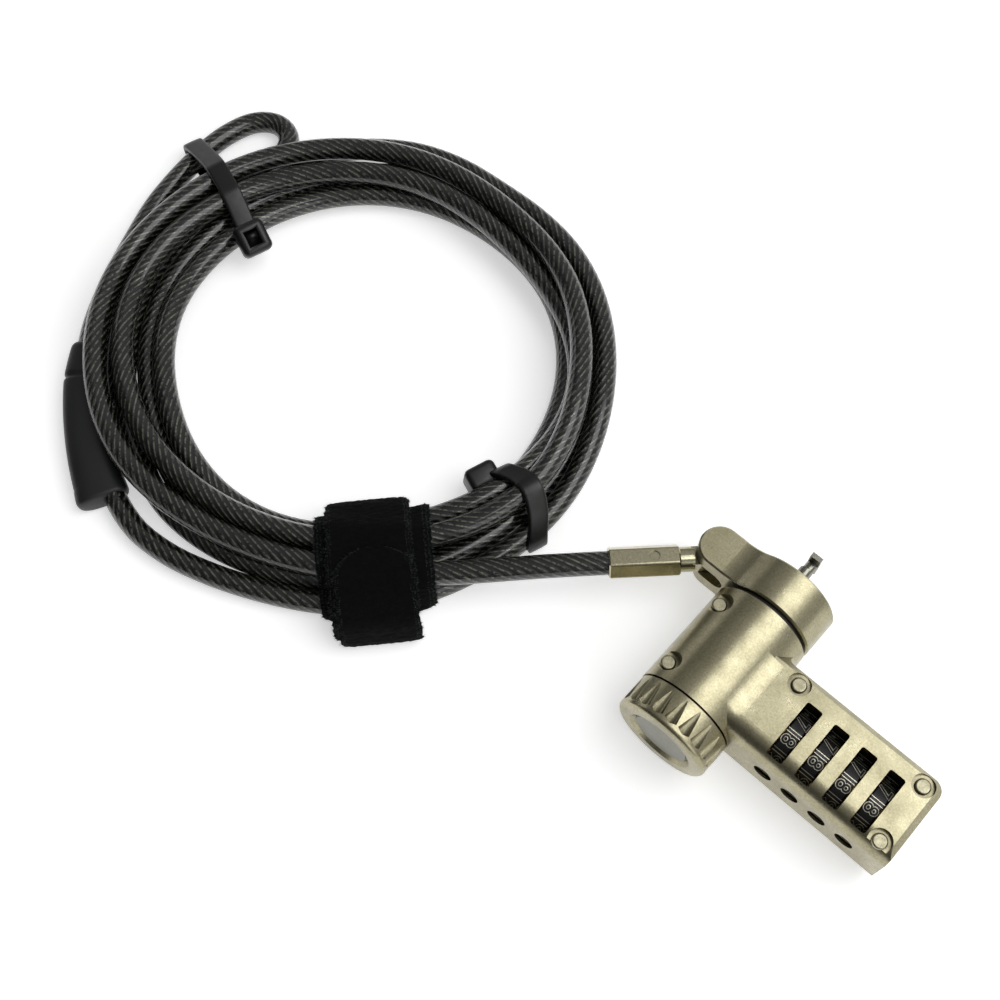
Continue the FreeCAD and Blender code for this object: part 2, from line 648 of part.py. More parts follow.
def make_back_shell():
    """The thin cover behind, with shallow hollows for the dials."""
    body = new_body("back_shell")
    add_housing(body, parting, -S.housing_half, S.cover_bevel, S.cover_round)
    add_barrel(body, lower=True)
    round_seam(body)
    hollow = Outline(body, "YZ_Plane", S.dial_first - pocket_width / 2)
    hollow.circle(S.dial_row, 0, pocket_radius)
    repeat_along(body, extrude(hollow, "Pocket", pocket_width, reverse=True),
                 S.dial_pitch, S.dial_count)
    cut_rivet_places(body, -S.rivet_depth - S.seat_gap, S.rivet_depth, recess=False)
    return body


def make_shell_rivets():
    """Five rivets with low domed heads, as separate solids of one group."""
    rivets = []
    for x, y, floor in RIVETS:
        place = Vector(x.number, y.number, floor.number)
        head = Part.makeCylinder(number("rivet_head"), number("rivet_head_height"), place)
        dome_edge = [edge for edge in head.Edges if edge.BoundBox.ZMin > floor.number + TOUCH]
        head = head.makeFillet(number("rivet_dome"), dome_edge[:1])
        foot = Vector(x.number, y.number, -number("rivet_depth"))
        shank = Part.makeCylinder(number("rivet_radius"), floor.number + number("rivet_depth"), foot)
        rivets.append(head.fuse(shank).removeSplitter())
    return make_feature("shell_rivets", Part.makeCompound(rivets))


def make_knob():
    """The knob: a short drum with tapering flutes and a dished end."""
    body = new_body("knob")
    drum = Outline(body, "XY_Plane").polygon(
        (S.spindle_radius + S.seat_gap, knob_front),
        (S.knob_radius - S.knob_rim, knob_front),
        (S.knob_radius, knob_front - S.knob_rim),
        (S.knob_radius, knob_back),
        (S.recess_mouth, knob_back),
        (S.recess_radius, recess_floor),
        (0, recess_floor),
        (0, spindle_back),
        (S.spindle_radius + S.seat_gap, spindle_back))
    turn(drum, "Revolution", "V_Axis")
    outer, back = S.knob_radius.number, knob_back.number
    finish_edges(body, "Fillet", S.knob_round, lambda edge:
                 flat_at(edge, "Y", back) and near(edge.BoundBox.XMax, outer))
    # A flute is a pointed cone that lies along the surface, deepest near the end face.
    axis = S.knob_radius + S.flute_rise
    start = knob_back + S.flute_margin
    deep = start + S.flute_end
    flute = Outline(body, "XY_Plane")
    flute.polygon((axis, start), (axis - S.flute_radius, deep), (axis, deep + S.flute_length))
    flute.sketch.toggleConstruction(
        flute.line_edge((axis.number, start.number), (axis.number, deep.number)))
    flute.place(3, 1, axis, start)
    flute.place(3, 2, axis, deep)
    repeat_round(body, turn(flute, "Groove", "Axis0"), "Y_Axis", S.flute_count)
    return body


def make_knob_end_disc():
    body = new_body("knob_end_disc")
    disc = Outline(body, "XZ_Plane", -recess_floor).circle(0, 0, S.disc_radius)
    extrude(disc, "Pad", S.disc_thickness)
    return body


def make_lock_spindle():
    """The spindle: a round bar whose waist is a circle beside its axis."""
    body = new_body("lock_spindle")
    cam_front = S.dial_row + S.cam_width / 2
    cam_back = S.dial_row - S.cam_width / 2
    nose = Outline(body, "XZ_Plane", -spindle_front).circle(0, 0, S.spindle_radius)
    extrude(nose, "Pad", spindle_front - cam_front)
    side = S.cam_throw * DIAGONAL
    waist = Outline(body, "XZ_Plane", -cam_front).circle(side, -side, S.cam_radius)
    extrude(waist, "Pad", S.cam_width)
    tail = Outline(body, "XZ_Plane", -cam_back).circle(0, 0, S.spindle_radius)
    extrude(tail, "Pad", cam_back - spindle_back)
    socket = Outline(body, "XZ_Plane", -spindle_front).circle(0, 0, S.stem_radius + S.seat_gap)
    extrude(socket, "Pocket", S.stem_grip, reverse=True)
    return body


def make_t_bar():
    """The T-bar on its stem, pressed into the spindle."""
    body = new_body("t_bar")
    stem = Outline(body, "XZ_Plane", -S.bar_start).circle(0, 0, S.stem_radius)
    extrude(stem, "Pad", S.bar_start - spindle_front + S.stem_grip - S.axial_play)
    bar = Outline(body, "XZ_Plane", -S.bar_start - S.bar_thickness).box(
        -S.bar_width / 2, S.bar_width / 2, -S.bar_length / 2, S.bar_length / 2)
    extrude(bar, "Pad", S.bar_thickness)
    return body


def make_nose_guide():
    """Flange, spigot, boss and two guide pins that fill the device's slot."""
    body = new_body("nose_guide")
    turned = Outline(body, "XY_Plane").polygon(
        (stem_bore, spigot_end), (S.spigot_radius, spigot_end), (S.spigot_radius, neck_end),
        (S.flange_radius, neck_end), (S.flange_radius, collar_front), (S.boss_radius, collar_front),
        (S.boss_radius, 0), (stem_bore, 0))
    turn(turned, "Revolution", "V_Axis")
    round_end = S.guide_width / 2
    for sign in (1, -1):
        pin = Outline(body, "XZ_Plane", 0)
        inner = S.guide_channel / 2 * sign
        centre = (S.guide_height / 2 - round_end) * sign
        arc = pin.arc_edge((0, centre.number), round_end.number, *((0, 180) if sign > 0 else (180, 360)))
        reach = round_end.number * sign
        first = pin.line_edge((-reach, centre.number), (-reach, inner.number))
        base = pin.line_edge((-reach, inner.number), (reach, inner.number))
        last = pin.line_edge((reach, inner.number), (reach, centre.number))
        pin.rule("Tangent", arc, 2, first, 1)
        pin.rule("Coincident", first, 2, base, 1)
        pin.rule("Coincident", base, 2, last, 1)
        pin.rule("Tangent", last, 2, arc, 1)
        pin.rule("Horizontal", base)
        pin.place(arc, 3, 0, centre)
        pin.size("Radius", arc, size=round_end)
        pin.size("DistanceY", -1, 1, base, 1, size=inner)
        extrude(pin, "Pad", S.guide_length, reverse=True)
    return body


def make_swivel_arm():
    """The cable arm: a collar with a forked lug, joined by a hollow on each side."""
    body = new_body("swivel_arm")
    radius, half, valley = (number(name) for name in ("barrel_radius", "lug_half", "valley_radius"))
    rise = half + valley
    run = math.sqrt((radius + valley) ** 2 - rise ** 2)
    lean = math.degrees(math.atan2(rise, run))
    reach = number("lug_reach")
    side = Outline(body, "XZ_Plane", -collar_front)
    collar = side.arc_edge((0, 0), radius, lean - 180, 180 - lean)
    upper = side.arc_edge((-run, rise), valley, 270, 360 - lean)
    lower = side.arc_edge((-run, -rise), valley, lean, 90)
    top = side.line_edge((-run, half), (-reach, half))
    tip = side.line_edge((-reach, half), (-reach, -half))
    under = side.line_edge((-reach, -half), (-run, -half))
    side.rule("Tangent", collar, 2, upper, 2)
    side.rule("Tangent", upper, 1, top, 1)
    side.rule("Coincident", top, 2, tip, 1)
    side.rule("Coincident", tip, 2, under, 1)
    side.rule("Tangent", under, 2, lower, 2)
    side.rule("Tangent", lower, 1, collar, 1)
    side.rule("Coincident", collar, 3, -1, 1)
    side.size("Radius", collar, size=S.barrel_radius)
    side.size("Radius", upper, size=S.valley_radius)
    side.size("Radius", lower, size=S.valley_radius)
    side.place(top, 2, -S.lug_reach, S.lug_half)
    side.place(under, 1, -S.lug_reach, -S.lug_half)
    extrude(side, "Pad", S.collar_length)
    tip_radius = S.collar_length / 2
    tip_middle = tip_radius - S.lug_reach
    plan = Outline(body, "XY_Plane")
    round_tip = plan.arc_edge((tip_middle.number, collar_middle.number), tip_radius.number, 90, 270)
    beyond = S.lug_reach + S.cut_spare
    ahead = collar_front + S.cut_spare
    behind = collar_back - S.cut_spare
    out, rear, fore = beyond.number, behind.number, ahead.number
    front, back = collar_front.number, collar_back.number
    corners = [(tip_middle.number, back), (tip_middle.number, rear), (-out, rear),
               (-out, fore), (tip_middle.number, fore), (tip_middle.number, front)]
    lines = [plan.line_edge(start, end) for start, end in zip(corners, corners[1:])]
    for line, following in zip(lines, lines[1:]):
        plan.rule("Coincident", line, 2, following, 1)
    plan.rule("Coincident", round_tip, 2, lines[0], 1)
    plan.rule("Coincident", lines[-1], 2, round_tip, 1)
    plan.place(round_tip, 3, tip_middle, collar_middle)
    plan.place(round_tip, 1, tip_middle, collar_front)
    plan.size("DistanceX", -1, 1, lines[0], 1, size=tip_middle)
    plan.place(lines[1], 1, tip_middle, behind)
    plan.place(lines[2], 1, -beyond, behind)
    plan.place(lines[3], 1, -beyond, ahead)
    plan.place(lines[4], 1, tip_middle, ahead)
    extrude(plan, "Pocket", S.barrel_radius * 3, midplane=True)
    finish_edges(body, "Chamfer", S.arm_bevel, lambda edge:
                 flat_at(edge, "Y", front) or flat_at(edge, "Y", back))
    bore = Outline(body, "XZ_Plane", -collar_front).circle(0, 0, collar_bore)
    extrude(bore, "Pocket", S.collar_length * 2, midplane=True)
    seat = Outline(body, "XZ_Plane", -collar_front).circle(0, 0, S.flange_radius + S.flange_gap)
    extrude(seat, "Pocket", S.flange_thickness + S.flange_gap, reverse=True)
    slot = Outline(body, "XZ_Plane", -collar_front)
    closed = -S.fork_depth - S.fork_half
    gap = number("fork_half")
    end_arc = slot.arc_edge((closed.number, 0), gap, -90, 90)
    upper_line = slot.line_edge((closed.number, gap), (-out, gap))
    mouth = slot.line_edge((-out, gap), (-out, -gap))
    lower_line = slot.line_edge((-out, -gap), (closed.number, -gap))
    slot.rule("Tangent", end_arc, 2, upper_line, 1)
    slot.rule("Coincident", upper_line, 2, mouth, 1)
    slot.rule("Coincident", mouth, 2, lower_line, 1)
    slot.rule("Tangent", lower_line, 2, end_arc, 1)
    slot.rule("Vertical", mouth)
    slot.place(end_arc, 3, closed, 0)
    slot.size("Radius", end_arc, size=S.fork_half)
    slot.size("DistanceX", -1, 1, mouth, 1, size=-beyond)
    extrude(slot, "Pocket", S.collar_length * 3, midplane=True)
    hole = Outline(body, "XY_Plane", -S.lug_half).circle(-S.pin_reach, collar_middle, pin_bore)
    extrude(hole, "Pocket", S.lug_half + S.pin_top + S.axial_play, reverse=True)
    return body


def make_arm_washer():
    body = new_body("arm_washer")
    front = collar_back - S.axial_play
    ring = Outline(body, "XZ_Plane", -front)
    ring.circle(0, 0, S.barrel_radius - S.washer_inset).circle(0, 0, S.neck_radius + S.seat_gap)
    extrude(ring, "Pad", S.washer_space - S.axial_play)
    return body


def make_pivot_pin():
    body = new_body("pivot_pin")
    pin = Outline(body, "XY_Plane", -S.pin_bottom).circle(-S.pin_reach, collar_middle, S.pin_radius)
    extrude(pin, "Pad", S.pin_bottom + S.pin_top)
    top, bottom = S.pin_top.number, -S.pin_bottom.number
    finish_edges(body, "Chamfer", S.pin_chamfer, lambda edge:
                 flat_at(edge, "Z", top) or flat_at(edge, "Z", bottom))
    return body


def along_cable(body):
    """Turns a body that is made along +X from the pivot to its place along the cable."""
    bind(body, "Placement.Base.x", -S.pin_reach)
    bind(body, "Placement.Base.y", collar_middle)
    body.Placement.Rotation = Rotation(Vector(0, 0, 1), number("cable_heading"))
    bind(body, "Placement.Rotation.Angle", S.cable_heading)
    return body


def make_cable_end_fitting():
    """Eye, tongue and round collar of the end fitting, made along +X from the pivot."""
    body = new_body("cable_end_fitting")
    eye = Outline(body, "XY_Plane").circle(0, 0, S.eye_radius)
    extrude(eye, "Pad", S.eye_thickness, midplane=True)
    tongue = Outline(body, "XY_Plane").box(
        0, S.fitting_collar_start + S.tongue_root, -S.tongue_width / 2, S.tongue_width / 2)
    extrude(tongue, "Pad", S.eye_thickness, midplane=True)
    collar = Outline(body, "YZ_Plane", S.fitting_collar_start).circle(0, 0, S.fitting_collar_radius)
    extrude(collar, "Pad", S.ferrule_start - S.fitting_collar_start)
    bore = Outline(body, "XY_Plane").circle(0, 0, S.pin_radius + S.eye_gap)
    extrude(bore, "Pocket", S.eye_thickness * 2, midplane=True)
    return along_cable(body)


def make_cable_ferrule():
    """A six-sided ferrule, flat side up, bored for the cable, with one crimp mark."""
    body = new_body("cable_ferrule")
    half = S.ferrule_flats / 2
    short = half * HEX_SIDE
    long = half * HEX_CORNER
    bar = Outline(body, "YZ_Plane", S.ferrule_start).polygon(
        (short, half), (-short, half), (-long, 0), (-short, -half), (short, -half), (long, 0))
    extrude(bar, "Pad", S.ferrule_length)
    start, end = S.ferrule_start.number, (S.ferrule_start + S.ferrule_length).number
    finish_edges(body, "Fillet", S.ferrule_edge, lambda edge:
                 edge.BoundBox.XLength > S.ferrule_length.number / 2)
    finish_edges(body, "Chamfer", S.ferrule_chamfer, lambda edge:
                 flat_at(edge, "X", start) or flat_at(edge, "X", end))
    bore = Outline(body, "YZ_Plane", S.ferrule_start + S.ferrule_length - S.ferrule_grip)
    bore.circle(0, 0, S.cable_radius + S.grip_gap)
    extrude(bore, "Pocket", S.ferrule_grip * 2, reverse=True)
    mark = Outline(body, "XY_Plane", half).circle(S.ferrule_start + S.dimple_start, 0, S.dimple_radius)
    extrude(mark, "Pocket", S.dimple_depth)
    return along_cable(body)


def dial_place(body, index):
    """Puts a body that is made about its own X axis at its place in the row."""
    bind(body, "Placement.Base.x", S.dial_first + S.dial_pitch * index)
    bind(body, "Placement.Base.y", S.dial_row)
    return body


def make_dial(index):
    """A number dial: a wheel with bevelled rims and a raised rib beside each digit."""
    body = new_body(f"dial_{index + 1}")
    half = S.dial_width / 2
    bevel = S.rib_height
    wheel = Outline(body, "XY_Plane").polygon(
        (-half, S.ring_radius + S.seat_gap), (half, S.ring_radius + S.seat_gap),
        (half, S.dial_radius - bevel), (half - bevel, S.dial_radius),
        (-half + bevel, S.dial_radius), (-half, S.dial_radius - bevel))
    turn(wheel, "Revolution", "H_Axis")
    rib = Outline(body, "YZ_Plane").polygon(
        (-S.rib_width / 2, S.dial_radius - S.rib_root), (S.rib_width / 2, S.dial_radius - S.rib_root),
        (S.rib_top / 2, S.dial_radius + S.rib_height),
        (-S.rib_top / 2, S.dial_radius + S.rib_height))
    repeat_round(body, extrude(rib, "Pad", S.dial_width - bevel * 2, midplane=True),
                 "X_Axis", S.rib_count)
    return dial_place(body, index)


def make_code_ring(index):
    """A code ring: a sleeve with a web, whose notch lets one fin of the shaft through."""
    body = new_body(f"code_ring_{index + 1}")
    half, web = S.ring_length / 2, S.ring_web / 2
    sleeve = Outline(body, "XY_Plane").polygon(
        (-half, S.ring_radius), (-half, S.ring_cup), (-web, S.ring_cup), (-web, shaft_bore),
        (web, shaft_bore), (web, S.ring_cup), (half, S.ring_cup), (half, S.ring_radius))
    turn(sleeve, "Revolution", "H_Axis")
    notch = Outline(body, "YZ_Plane").box(-S.notch_width / 2, S.notch_width / 2, 0, S.notch_top)
    extrude(notch, "Pocket", S.ring_web + S.cut_spare, midplane=True)
    return dial_place(body, index)


def make_dial_shaft():
    """The shaft in the code rings, with one fin beside each web."""
    body = new_body("dial_shaft")
    rod = Outline(body, "YZ_Plane", shaft_start).circle(S.dial_row, 0, S.shaft_radius)
    extrude(rod, "Pad", S.shaft_end - shaft_start)
    half = S.fin_width / 2
    fin = Outline(body, "YZ_Plane", S.dial_first + S.fin_offset).box(
        S.dial_row - half, S.dial_row + half, 0, S.fin_top)
    repeat_along(body, extrude(fin, "Pad", S.fin_thickness), S.dial_pitch, S.dial_count)
    return body


def turn_arcs(point_at, angles):
    """Arcs through the curve's points, three by three: each ends where the next starts."""
    edges = []
    for start, end in zip(angles, angles[1:]):
        middle = (start + end) / 2
        edges.append(Part.Arc(point_at(start), point_at(middle), point_at(end)).toShape())
    return edges


def steps(start, end, count):
    return [start + (end - start) * index / count for index in range(count + 1)]


def tube(edges, radius, start, heading):
    """A round tube along joined edges, from a circle square to its start."""
    ring = Part.Wire([Part.Circle(start, heading, radius).toShape()])
    shell = Part.BRepOffsetAPI.MakePipeShell(Part.Wire(edges))
    shell.add(ring)
    shell.build()
    shell.makeSolid()
    return shell.shape()


def make_shaft_spring():
    """A coil spring between the shaft's outer end and the housing's end wall."""
    radius, wire = number("spring_radius"), number("spring_wire") / 2
    start, length = number("shaft_end") + wire, number("spring_length") - 2 * wire
    row = number("dial_row")
    turns = number("spring_turns")

    def point_at(angle):
        turned = math.radians(angle)
        return Vector(start + length * angle / (360 * turns),
                      row + radius * math.cos(turned), radius * math.sin(turned))

    edges = turn_arcs(point_at, steps(0, 360 * turns, int(4 * turns)))
    first = edges[0].tangentAt(edges[0].FirstParameter)
    return make_feature("shaft_spring", tube(edges, wire, point_at(0), first))


def make_detent_spring():
    """A flat strip, bent into one hump for each dial."""
    body = new_body("detent_spring")
    middle = (S.dial_first + dial_last) / 2
    left, right = middle - S.strip_length / 2, middle + S.strip_length / 2
    thick = S.strip_thickness
    dial_side = [(left, S.strip_face)]
    wall_side = [(left, S.strip_face + thick)]
    # At a bend the wall side's corners lie this far in and this far up, to keep the thickness.
    bend_in, bend_up = thick * 0.5, thick * 1.3
    for index in range(int(number("dial_count"))):
        at = S.dial_first + S.dial_pitch * index
        dial_side += [(at - S.finger_half, S.strip_face), (at, S.strip_face - S.finger_rise),
                      (at + S.finger_half, S.strip_face)]
        wall_side += [(at - S.finger_half + bend_in, S.strip_face + thick),
                      (at, S.strip_face - S.finger_rise + bend_up),
                      (at + S.finger_half - bend_in, S.strip_face + thick)]
    dial_side.append((right, S.strip_face))
    wall_side.append((right, S.strip_face + thick))
    strip = Outline(body, "XY_Plane", -S.strip_drop).polygon(*dial_side, *reversed(wall_side))
    extrude(strip, "Pad", S.strip_height)
    return body


# The cable lies on the table in a round coil of two layers, with both ends at the strap.
# It climbs from the lower layer to the upper one in this part of a turn.
CLIMB_TURNS = 0.5
coil_middle = Vector(number("coil_x"), number("coil_y"), 0)
low_level = number("table_level") + number("wrap_thickness") + number("cable_radius")
high_level = low_level + number("coil_pitch")
coil_shift = number("coil_start_radius") - number("coil_end_radius")
reversal = (number("coil_turns") + coil_shift / number("coil_pitch")) / 2
layer_turns = reversal - CLIMB_TURNS / 2


def coil_point(angle):
    """The cable's middle after it has turned by this angle from the coil's lower end."""
    turned = angle / 360
    climb = min(max((turned - layer_turns) / CLIMB_TURNS, 0), 1)
    inward = number("coil_pitch") * (reversal - abs(turned - reversal))
    radius = number("coil_start_radius") - inward
    level = low_level + (high_level - low_level) * climb ** 2 * (3 - 2 * climb)
    heading = math.radians(number("coil_start_angle") + angle)
    return coil_middle + Vector(radius * math.cos(heading), radius * math.sin(heading), level)


def least_gap(point_at, whole, radius):
    """Least gap between the tube and itself, measured on points half a turn or more apart."""
    count = 720
    points = [point_at(angle) for angle in steps(0, whole, count)]
    apart = int(count * 180 / whole)
    return min((points[first] - points[second]).Length
               for first in range(0, count + 1, 2)
               for second in range(first + apart, count + 1)) - 2 * radius


def make_cable_coil():
    """Five turns: in along the table, up in the half turn where the spiral reverses, and out."""
    radius = number("cable_radius")
    whole = 360 * number("coil_turns")
    climb_start = 360 * layer_turns
    climb_end = climb_start + 360 * CLIMB_TURNS
    angles = (steps(0, climb_start, 10) + steps(climb_start, climb_end, 4)[1:]
              + steps(climb_end, whole, 8)[1:])
    edges = turn_arcs(coil_point, angles)
    first = edges[0].tangentAt(edges[0].FirstParameter)
    solid = tube(edges, radius, coil_point(0), first)
    path = sum(edge.Length for edge in edges)
    print("coil: length", round(path, 1), "volume ratio",
          round(solid.Volume / (math.pi * radius ** 2 * path), 4),
          "least gap", round(least_gap(coil_point, whole, radius), 2))
    return make_feature("cable_coil", solid), edges


# An arc at a corner of a route takes this share of the shorter run beside it.
ARC_SHARE = 0.45


def round_route(label, points, radius):
    """A tube along straight runs with an arc at each corner, as large as its runs allow."""
    corners = [Vector(*point) for point in points]
    edges, radii = [], []
    leave = corners[0]
    for before, corner, after in zip(corners, corners[1:], corners[2:]):
        entry, way = (corner - before), (after - corner)
        half = entry.getAngle(way) / 2
        cut = ARC_SHARE * min(entry.Length, way.Length)
        radii.append(cut / math.tan(half))
        into = corner - Vector(entry).normalize() * cut
        out = corner + Vector(way).normalize() * cut
        bisector = (Vector(way).normalize() - Vector(entry).normalize()).normalize()
        to_middle = radii[-1] / math.cos(half) - radii[-1]
        edges.append(Part.LineSegment(leave, into).toShape())
        edges.append(Part.Arc(into, corner + bisector * to_middle, out).toShape())
        leave = out
    edges.append(Part.LineSegment(leave, corners[-1]).toShape())
    solid = tube(edges, radius, corners[0], corners[1] - corners[0])
    path = sum(edge.Length for edge in edges)
    print(f"{label}: length", round(path, 1), "volume ratio",
          round(solid.Volume / (math.pi * radius ** 2 * path), 4),
          "radii", [round(value, 1) for value in radii])
    return solid


# Routes of the free stretches, chosen by hand: x, y and height of each point.
TAIL_POINTS = [(-73.4, -69.0, -7.2), (-86.9, -76.2, -7.6), (-97.0, -79.7, -8.0),
               (-106.2, -81.2, -8.0), (-113.95, -80.65, -7.7), (-120.9, -78.1, -7.4)]
EYE_POINTS = [(-154.5, -58.0, -7.4), (-161.8, -48.5, -7.6), (-169.3, -35.1, -7.3),
              (-172.2, -16.4, -7.1), (-171.3, -0.7, -7.1), (-167.6, 14.9, -7.9),
              (-155.9, 9.6, -7.9), (-161.6, -1.5, -7.3), (-165.9, -9.1, -7.1),
              (-166.4, -25.5, -7.2), (-160.5, -39.5, -7.5), (-155.2, -48.45, -7.6),
              (-150.3, -54.8, -7.4)]
SLEEVE_POINTS = [(-121.3, -79.2, -7.4), (-138.7, -69.8, -7.4), (-152.4, -56.4, -7.4)]

# The lead to the ferrule: distance from the pivot, drift to the left, and height.
LEAD_PLACES = [(58.0, 0.5, -1.1), (43.0, 0.6, -0.45), (27.0, 0.0, 0.0)]


def beyond_pivot(distance, side=0.0, level=0.0):
    """A point on the line of the cable end fitting, at a distance from the pivot."""
    heading = math.radians(number("cable_heading"))
    return (-number("pin_reach") + distance * math.cos(heading) - side * math.sin(heading),
            collar_middle.number + distance * math.sin(heading) + side * math.cos(heading), level)


def make_free_cables():
    """The three free stretches: to the ferrule, to the sleeve, and the eye beyond it."""
    radius = number("cable_radius")
    bore_end = number("ferrule_start") + number("ferrule_length") - number("ferrule_grip")
    lead = [tuple(coil_point(360 * number("coil_turns")))]
    lead += [beyond_pivot(*place) for place in LEAD_PLACES]
    lead.append(beyond_pivot(bore_end))
    tail = [tuple(coil_point(0)), *TAIL_POINTS]
    make_feature("cable_lead", round_route("lead", lead, radius))
    make_feature("cable_tail", round_route("tail", tail, radius))
    make_feature("cable_eye", round_route("eye", EYE_POINTS, radius))


def flat_oval(middle, across, half_width, half_height):
    """A flat-sided oval round a point, with its long way along the direction across."""
    up = Vector(0, 0, half_height)
    reach = across * (half_width - half_height)
    side = across * half_width
    return Part.Wire([
        Part.LineSegment(middle - reach + up, middle + reach + up).toShape(),
        Part.Arc(middle + reach + up, middle + side, middle + reach - up).toShape(),
        Part.LineSegment(middle + reach - up, middle - reach - up).toShape(),
        Part.Arc(middle - reach - up, middle - side, middle - reach + up).toShape()])


# The lip takes this share of the sleeve's length.
LIP_SHARE = 0.07


def make_eye_sleeve():
    """The moulded sleeve over both cables of the eye, with a wider lip where the cable enters."""
    start, middle, end = (Vector(*point) for point in SLEEVE_POINTS)
    arc = Part.Arc(start, middle, end).toShape()
    half_width, half_height = number("sleeve_width") / 2, number("sleeve_height") / 2
    first, last = arc.ParameterRange
    lip_end = first + (last - first) * LIP_SHARE

    def stretch(low, high, width):
        piece = arc.Curve.toShape(low, high)
        heading = piece.tangentAt(low)
        across = Vector(-heading.y, heading.x, 0)
        shell = Part.BRepOffsetAPI.MakePipeShell(Part.Wire([piece]))
        shell.add(flat_oval(piece.valueAt(low), across, width, half_height))
        shell.build()
        shell.makeSolid()
        return shell.shape()

    sleeve = stretch(first, last, half_width).fuse(
        stretch(first, lip_end, half_width + number("sleeve_lip")))
    return make_feature("eye_sleeve", sleeve)


def band_corners(inner, outer, low, high, shoulder):
    """Corners of a band's section: inner and outer reach, height, and the outer shoulder."""
    along, down = shoulder
    corner = S.band_bevel
    return [(inner + corner, low), (outer - corner, low), (outer, low + corner),
            (outer, high - down), (outer - along, high), (inner + corner, high),
            (inner, high - corner), (inner, low + corner)]


def add_band(body, reach, heights, shoulder, width, thickness):
    """A closed band round the cables, as wide along them as width."""
    inner, outer = reach
    low, high = heights
    band = Outline(body, "XZ_Plane")
    band.polygon(*band_corners(inner - thickness, outer + thickness, low - thickness,
                               high + thickness, shoulder))
    band.polygon(*band_corners(inner, outer, low, high, shoulder))
    extrude(band, "Pad", width, midplane=True)


def at_coil(body, angle):
    """Turns a body that is made along +X from the coil's middle to its angle round the coil."""
    bind(body, "Placement.Base.x", S.coil_x)
    bind(body, "Placement.Base.y", S.coil_y)
    body.Placement.Rotation = Rotation(Vector(0, 0, 1), angle.number)
    bind(body, "Placement.Rotation.Angle", angle)
    return body


band_low = S.table_level + S.wrap_thickness
band_high = band_low + S.cable_radius * 2 + S.coil_pitch
band_inner = S.coil_end_radius - S.coil_pitch * 2 - S.band_inset
band_thickness = S.wrap_thickness - S.wrap_gap
coil_outside = S.coil_start_radius + S.cable_radius


def make_cable_tie(label, angle, inner, outer, shoulder):
    """A nylon tie with its square head inside the coil."""
    body = new_body(label)
    high = band_high + S.tie_rise
    add_band(body, (inner, outer), (S.table_level + band_thickness, high), shoulder,
             S.tie_width, band_thickness)
    face, top = inner - band_thickness, high + S.tie_head_rise
    head = Outline(body, "XZ_Plane").box(
        face - S.tie_head_length, face + S.tie_head_root, high - S.tie_head_height, top)
    extrude(head, "Pad", S.tie_width + S.tie_head_extra, midplane=True)
    half = S.tie_socket_width / 2
    socket = Outline(body, "XY_Plane", top).box(
        face - S.tie_socket_far, face - S.tie_socket_near, -half, half)
    extrude(socket, "Pocket", S.tie_socket_depth)
    return at_coil(body, angle)


def make_wrap_strap():
    """The hook-and-loop strap: a wide under layer, a narrower one over it, and a round tab."""
    body = new_body("wrap_strap")
    low, high = S.table_level + band_thickness, band_high + S.strap_rise
    inner, outer = band_inner - S.strap_inner_gap, coil_outside + S.strap_outer_gap
    add_band(body, (inner, outer), (low, high), (S.strap_shoulder, S.strap_shoulder),
             S.strap_under_width, band_thickness)
    over = Outline(body, "XZ_Plane").box(
        inner + S.over_inner_inset, outer - S.over_outer_inset,
        high + band_thickness - S.layer_overlap, high + band_thickness * 2)
    extrude(over, "Pad", S.strap_width, midplane=True)
    return at_coil(body, S.strap_angle)


make_front_shell()
make_back_shell()
make_shell_rivets()
make_knob()
make_knob_end_disc()
make_lock_spindle()
make_t_bar()
make_nose_guide()
make_swivel_arm()
make_arm_washer()
make_pivot_pin()
make_cable_end_fitting()
make_cable_ferrule()
for dial_index in range(int(number("dial_count"))):
    make_dial(dial_index)
    make_code_ring(dial_index)
make_dial_shaft()
make_shaft_spring()
make_detent_spring()
make_cable_coil()
make_free_cables()
make_eye_sleeve()
make_cable_tie("cable_tie_1", S.first_tie_angle, band_inner, S.first_tie_reach,
               (S.first_shoulder_along, S.first_shoulder_down))
make_cable_tie("cable_tie_2", S.second_tie_angle, band_inner, coil_outside + S.second_tie_gap,
               (S.second_shoulder, S.second_shoulder))
make_wrap_strap()
doc.recompute()

failed = [thing.Name for thing in doc.Objects if "Invalid" in thing.State or "Error" in thing.State]
if failed:
    raise RuntimeError(f"features that failed: {failed}")

os.makedirs("parts", exist_ok=True)
sub_parts = [thing for thing in doc.Objects
             if thing.TypeId in ("PartDesign::Body", "Part::Feature")]
for sub_part in sub_parts:
    shape = sub_part.Shape
    if shape.isNull() or not shape.isValid() or not shape.Solids:
        raise RuntimeError(f"{sub_part.Label} has no valid shape")
    shape.exportStep(f"parts/{sub_part.Label}.step")
print(len(sub_parts), "sub-parts")
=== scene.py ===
import math

